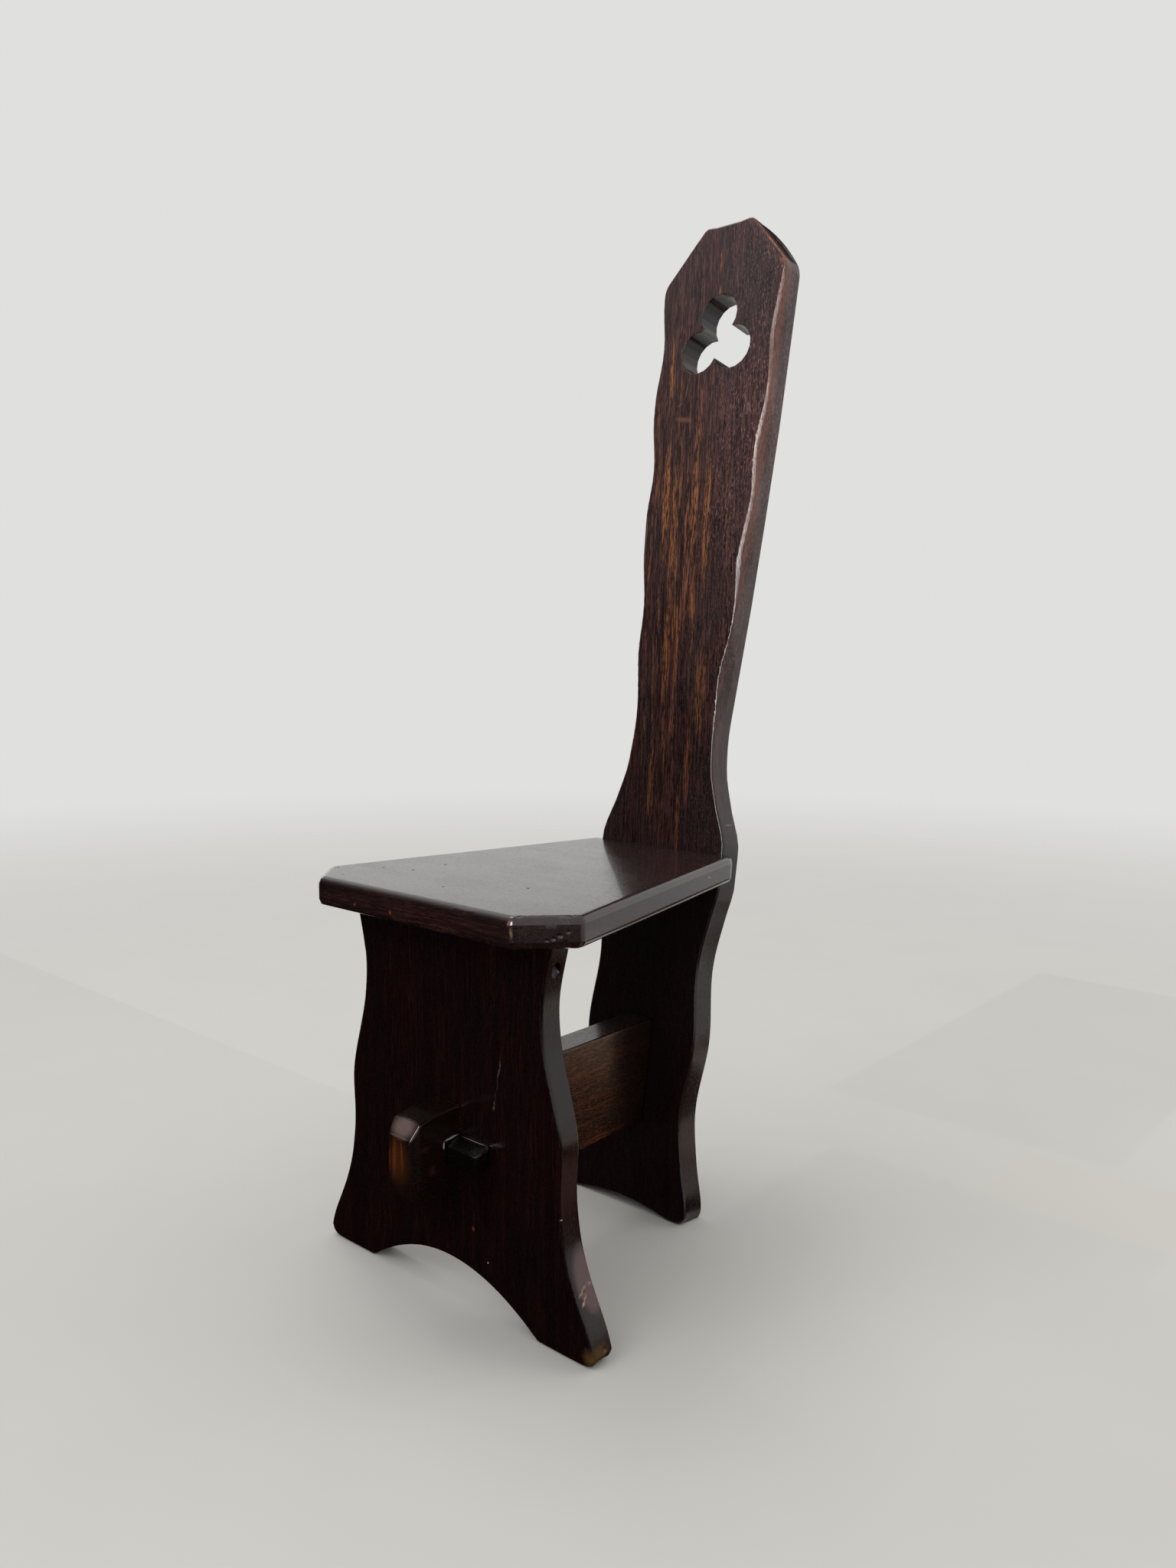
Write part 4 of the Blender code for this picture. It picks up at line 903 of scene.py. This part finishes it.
class ChairStretcherOperator(bpy.types.Operator):
    """Makes the stretcher and its through tenon"""

    bl_idname = "chair.stretcher"
    bl_label = "Stretcher"

    def execute(self, context):
        wood = context.scene.chair_wood
        work = finer_copy("stretcher")
        soften_rims(work, wood.rim_round, lambda edge: edge.verts[0].co.y < TENON_ROOT)
        slice_grid(work, (FORTH, 0.005), (UP, 0.005), (ACROSS, 0.006))
        work_surface(work, wood.planing_depth, wood.arris_wear, FORTH, 17.0,
                     lambda place: 1.0 if place.y < TENON_ROOT - 0.004 else 0.3)
        paint(work, wear=rubbed_arrises(11.0, 0.6), streaks=1.0, flecks=1.0, shade=stretcher_shade)
        material = varnished_oak(
            wood, "stretcher", (math.pi / 2, 0.0, 0.0),
            {"streaks": 0.5, "threads": 0.35, "bands": 0.6, "pores": 0.6, "blotches": 0.35,
             "lines": 0.4, "flecks": 0.7, "fleck_colour": "#754a2e", "ragged": 1.2,
             "rough": (0.17, 0.26)},
            STRETCHER_MARKS_AND_HIGHLIGHTS)
        finish_board(work, "stretcher_wood", "stretcher", "chair", material)
        return {"FINISHED"}


TENON_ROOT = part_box("front_leg_board")[0][1]
STRETCHER_MARKS_AND_HIGHLIGHTS = (
    # Painted reflection: the pale shine on the tenon's nose bevel
    ("#6e5b57", 0.9, (((0.0, -0.2494, 0.179), (0.019, 0.005, 0.0135), 0.3, (-0.62, 0.0, 0.0)),)),
    # Painted highlights along the left and top edges of the tenon's front
    ("#6a5a52", 0.7, (((-0.0158, -0.2545, 0.148), (0.0012, 0.004, 0.028), 0.5),
                      ((0.0, -0.2557, 0.1715), (0.016, 0.003, 0.001), 0.5))),
    ("#421f09", 0.8, (((-0.001, -0.2557, 0.15), (0.02, 0.004, 0.032), 0.1),)),
    ("#6a3a10", 0.5, (((-0.006, -0.2557, 0.153), (0.0035, 0.004, 0.026), 0.1, (0.0, 0.05, 0.0)),
                      ((0.004, -0.2557, 0.156), (0.0022, 0.004, 0.02), 0.1, (0.0, -0.04, 0.0)),
                      ((-0.013, -0.2557, 0.148), (0.0022, 0.004, 0.016), 0.1))),
    # Painted highlights on the tenon's side, along its top edge by the leg and where the peg comes
    # out
    ("#b4aea6", 0.85, (((0.0178, -0.209, 0.1612), (0.003, 0.01, 0.0013), 0.5, (0.08, 0.0, 0.0)),
                       ((0.0178, -0.2184, 0.1565), (0.003, 0.0012, 0.0044), 0.5))),
    ("#3a1a10", 0.6, (((0.0175, -0.24, 0.16), (0.003, 0.008, 0.004), 0.1),
                      ((0.0175, -0.232, 0.138), (0.003, 0.006, 0.007), 0.1))),
)


def stretcher_shade(vertex):
    """Painted shade darkens the tenon in front of the leg, and the end in the shade of the plank."""
    y = vertex.co.y
    return 0.95 if y < TENON_ROOT else rise(y, -0.01, 0.06, 0.0, 0.9)


class ChairPegOperator(bpy.types.Operator):
    """Makes the tapered peg that wedges the tenon"""

    bl_idname = "chair.tusk_peg"
    bl_label = "Tusk peg"

    def execute(self, context):
        wood = context.scene.chair_wood
        work = finer_copy("tusk_peg")
        soften_rims(work, wood.rim_round)
        slice_grid(work, (ACROSS, 0.004), (UP, 0.004), (FORTH, 0.004))
        work_surface(work, wood.planing_depth, wood.arris_wear, ACROSS, 21.0)
        paint(work, wear=rubbed_arrises(14.0, 0.55), streaks=0.6, shade=0.0)
        material = varnished_oak(
            wood, "peg", (0.0, math.pi / 2, 0.0),
            {"streaks": 0.5, "threads": 0.3, "bands": 0.5, "pores": 0.4, "blotches": 0.3,
             "lines": 0.4, "ragged": 0.7, "rough": (0.16, 0.26), "coat": (0.3, 0.06)},
            PEG_PAINTED_REFLECTIONS)
        finish_board(work, "tusk_peg_wood", "tusk_peg", "peg", material)
        return {"FINISHED"}


PEG_PAINTED_REFLECTIONS = (
    # Painted highlight along the rear edge of the peg's top
    ("#b4aea6", 0.9, (((0.037, -0.1992, 0.1605), (0.02, 0.0014, 0.0016), 0.5),)),
    # Painted reflection: the dark red of the leg mirrored in the peg's top
    ("#3a1614", 0.6, (((0.042, -0.206, 0.1605), (0.009, 0.005, 0.001), 0.1),)),
)


class ChairScrewsOperator(bpy.types.Operator):
    """Gives the four screws their dull, slightly rusted steel"""

    bl_idname = "chair.screws"
    bl_label = "Screws"

    def execute(self, context):
        material = dull_steel()
        for name in ("pocket_screw_left", "pocket_screw_right", "back_screw_left",
                     "back_screw_right"):
            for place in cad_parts[name].material_slots:
                place.material = material
        return {"FINISHED"}


RUST_WAVES = 700.0
RUST_LEVELS = (0.5, 0.62)
# Levels of the rust, and what the roughness and the metal go from and to
STEEL_ROUGHNESS = (0.35, 0.65, 0.3, 0.7)
STEEL_METAL = (0.2, 0.9, 1.0, 0.2)


def dull_steel():
    """Cold-drawn steel screw: grey metal that has dulled, with brown rust in patches."""
    material, tree = new_material("dull_steel")
    blotch = node(tree, "noise", node(tree, "place"), RUST_WAVES, 3.0)
    rust = node(tree, "ramp", blotch, *RUST_LEVELS)
    node(tree, "surface", node(tree, "principled", {
        "Base Color": node(tree, "mix", rust, rgba("#8d8880"), rgba("#4a2c1c")),
        "Roughness": node(tree, "ramp", blotch, *STEEL_ROUGHNESS),
        "Metallic": node(tree, "ramp", rust, *STEEL_METAL)}))
    return material


class ChairStageOperator(bpy.types.Operator):
    """Sets up the floor, the room's light, the lamps and the camera"""

    bl_idname = "chair.stage"
    bl_label = "Stage"

    def execute(self, context):
        studio = context.scene.chair_studio
        make_floor(studio.floor_colour)
        make_room(context.scene, studio.room_colour)
        for name, (*place, unseen) in LAMPS.items():
            item = lamp(f"{name}_lamp", *place, getattr(studio, f"{name}_power"))
            if unseen:
                setattr(item, unseen, False)
        make_flags()
        make_camera(context.scene, studio)
        context.scene.view_settings.view_transform = "Standard"
        return {"FINISHED"}


# Each lamp: its azimuth and elevation in degrees, its distance and size, and what can't see it
LAMPS = {
    "key": (-90.0, 66.0, 2.6, (1.2, 1.2), None),
    "strip": (14.0, 22.0, 2.4, (0.55, 1.7), "visible_diffuse"),
    "side": (140.0, 40.0, 2.4, (1.4, 1.4), "visible_glossy"),
    "front": (-12.0, 38.0, 2.4, (1.4, 1.4), "visible_glossy"),
}
LAMP_AIM = Vector((0.0, 0.0, 0.5))
SENSOR_WIDTH = 36.0
FLOOR_RADIUS = 7.0
FLOOR_SEGMENTS = 96
FLOOR_FADE = (0.75, 4.2)
FLOOR_SPECKS = (0.3, 0.7, 0.0, 0.06)
FLAG_AZIMUTH = math.radians(-42.0)
FLAG_DISTANCE = 2.4
FLAG_SIZE = (4.8, 4.0)
FLAG_FADE = (0.9, 3.7)
# A card: its colour, its near left and far right corners, and its height if not on the floor
BLACK_CARD = "#120a09"
WARM_CARD = "#94705f"
TAN_CARD = "#c8a482"
BROWN_CARD = "#40280f"
GREY_CARD = "#b0b0b4"
CARD_HEIGHT = MILLIMETRE / 2
CEILING = 1.9
LYING_CARDS = (
    (BLACK_CARD, (-2.4, -2.8), (2.4, -0.21)),
    (BLACK_CARD, (-2.4, -0.21), (0.10, 0.05)),
    (BLACK_CARD, (0.10, -0.21), (1.5, -0.13)),
    (BLACK_CARD, (0.60, -0.13), (1.5, 0.08)),
    (WARM_CARD, (0.10, -0.13), (0.60, 0.08)),
    (BLACK_CARD, (0.10, 0.08), (1.5, 0.25)),
    (BROWN_CARD, (0.10, 0.25), (0.26, 0.34)),
    (BROWN_CARD, (0.26, 0.25), (0.48, 0.33)),
    (TAN_CARD, (0.28, 0.33), (0.48, 0.48)),
    (GREY_CARD, (0.30, 1.30), (1.10, 2.60)),
    (BROWN_CARD, (0.00, 0.50), (0.38, 1.30)),
    (BLACK_CARD, (-1.3, 0.80), (-0.05, 2.3), CEILING),
)


def make_flags():
    """Cards that only the varnish mirrors, as a photographer keeps dark wood dark."""
    away = Vector((math.sin(FLAG_AZIMUTH), -math.cos(FLAG_AZIMUTH), 0.0)) * FLAG_DISTANCE
    width, height = FLAG_SIZE
    place = Matrix.Translation(away + UP * height / 2) @ Matrix.Rotation(FLAG_AZIMUTH, 4, "Z")
    upright = Matrix.Rotation(math.pi / 2, 4, "X")
    flag_card("standing_card", BLACK_CARD, place @ upright, width, height, FLAG_FADE)
    for number, (colour, (left, front), (right, rear), *level) in enumerate(LYING_CARDS):
        height = level[0] if level else CARD_HEIGHT
        place = Matrix.Translation(((left + right) / 2, (front + rear) / 2, height))
        flag_card(f"lying_card_{number + 1}", colour, place, right - left, rear - front)


def flag_card(name, colour, place, width, height, fade=None):
    """Studio card: a matt sheet of one colour, which may fade out between two heights."""
    work = bmesh.new()
    bmesh.ops.create_grid(work, x_segments=1, y_segments=1, size=0.5,
                          matrix=place @ Matrix.Diagonal((width, height, 1.0, 1.0)))
    card = mesh_object(work, name)
    material, tree = new_material("studio_card")
    clearness = 0.0
    if fade:
        clearness = node(tree, "ramp", node(tree, "height", node(tree, "place")), *fade)
    node(tree, "surface", node(tree, "mix_shader", clearness,
                               node(tree, "emission", rgba(colour), 1.0), node(tree, "clear")))
    card.data.materials.append(material)
    for rays in ("camera", "diffuse", "transmission", "shadow"):
        setattr(card, f"visible_{rays}", False)


def make_floor(colour):
    """Painted floor: a flat, pale, matt sheet that fades into the room far from the chair."""
    work = bmesh.new()
    bmesh.ops.create_circle(work, cap_ends=True, segments=FLOOR_SEGMENTS, radius=FLOOR_RADIUS)
    floor = mesh_object(work, "floor")
    material, tree = new_material("matt_floor_paint")
    place = node(tree, "place")
    speck = node(tree, "ramp", node(tree, "noise", place, 6.0, 4.0), *FLOOR_SPECKS)
    coat = node(tree, "principled", {
        "Base Color": node(tree, "mix", speck, (*colour, 1.0), rgba("#b5b2ac")),
        "Roughness": 0.7, "Specular IOR Level": 0.2})
    fade = node(tree, "ramp", node(tree, "length", place), *FLOOR_FADE)
    node(tree, "surface", node(tree, "mix_shader", fade, coat, node(tree, "clear")))
    floor.data.materials.append(material)


def make_room(scene, colour):
    """Gives the world one pale colour, which lights the chair and is its background."""
    world = bpy.data.worlds.new("pale_room")
    world.use_nodes = True
    world.node_tree.nodes.clear()
    node(world.node_tree, "world", node(world.node_tree, "background", (*colour, 1.0), 1.0))
    scene.world = world


def lamp(name, azimuth, elevation, distance, size, power):
    """Places a soft lamp round the chair and aims it at the middle."""
    across, up = math.radians(azimuth), math.radians(elevation)
    out = Vector((math.sin(across) * math.cos(up), -math.cos(across) * math.cos(up), math.sin(up)))
    data = bpy.data.lights.new(name, "AREA")
    data.shape = "RECTANGLE"
    data.size, data.size_y = size
    data.energy = power
    item = bpy.data.objects.new(name, data)
    item.location = LAMP_AIM + out * distance
    item.rotation_euler = (-out).to_track_quat("-Z", "Y").to_euler()
    item.visible_camera = False
    bpy.context.scene.collection.objects.link(item)
    return item


def make_camera(scene, studio):
    """Sets the camera at the angle of the photograph."""
    heading, pitch, roll = studio.camera_heading, studio.camera_pitch, studio.camera_roll
    ahead = Vector((-math.sin(heading) * math.cos(pitch), math.cos(heading) * math.cos(pitch),
                    -math.sin(pitch)))
    right = Vector((math.cos(heading), math.sin(heading), 0.0))
    over = right.cross(ahead)
    turned_right = right * math.cos(roll) + over * math.sin(roll)
    turned_over = over * math.cos(roll) - right * math.sin(roll)
    data = bpy.data.cameras.new("camera")
    data.sensor_width = SENSOR_WIDTH
    data.lens = studio.camera_lens
    camera = bpy.data.objects.new("camera", data)
    turn = Matrix((turned_right, turned_over, -ahead)).transposed().to_4x4()
    camera.matrix_world = Matrix.Translation(studio.camera_place) @ turn
    scene.collection.objects.link(camera)
    scene.camera = camera


class ChairPanel(bpy.types.Panel):
    """Lists the chair's pieces and their settings"""

    bl_idname = "CHAIR_PT_sidebar"
    bl_label = "Spinning chair"
    bl_space_type = "VIEW_3D"
    bl_region_type = "UI"
    bl_category = "Chair"

    def draw(self, context):
        for operator in OPERATORS:
            self.layout.operator(operator.bl_idname)
        for settings in (context.scene.chair_wood, context.scene.chair_studio):
            column = self.layout.column(align=True)
            for key in settings.__annotations__:
                column.prop(settings, key)


OPERATORS = (ChairPlankOperator, ChairSeatOperator, ChairLegOperator, ChairStretcherOperator,
             ChairPegOperator, ChairScrewsOperator, ChairStageOperator)
CLASSES = (ChairWoodSettings, ChairStudioSettings, *OPERATORS, ChairPanel)


def register():
    """Registers the classes and hangs the settings on the scene."""
    for item in CLASSES:
        bpy.utils.register_class(item)
    bpy.types.Scene.chair_wood = PointerProperty(type=ChairWoodSettings)
    bpy.types.Scene.chair_studio = PointerProperty(type=ChairStudioSettings)


def unregister():
    """Takes the settings and the classes away again."""
    del bpy.types.Scene.chair_studio
    del bpy.types.Scene.chair_wood
    for item in reversed(CLASSES):
        bpy.utils.unregister_class(item)


def main():
    """Makes every piece and the stage."""
    register()
    bpy.ops.chair.back_plank()
    bpy.ops.chair.seat_board()
    bpy.ops.chair.front_leg()
    bpy.ops.chair.stretcher()
    bpy.ops.chair.tusk_peg()
    bpy.ops.chair.screws()
    bpy.ops.chair.stage()


if __name__ == "__main__":
    main()
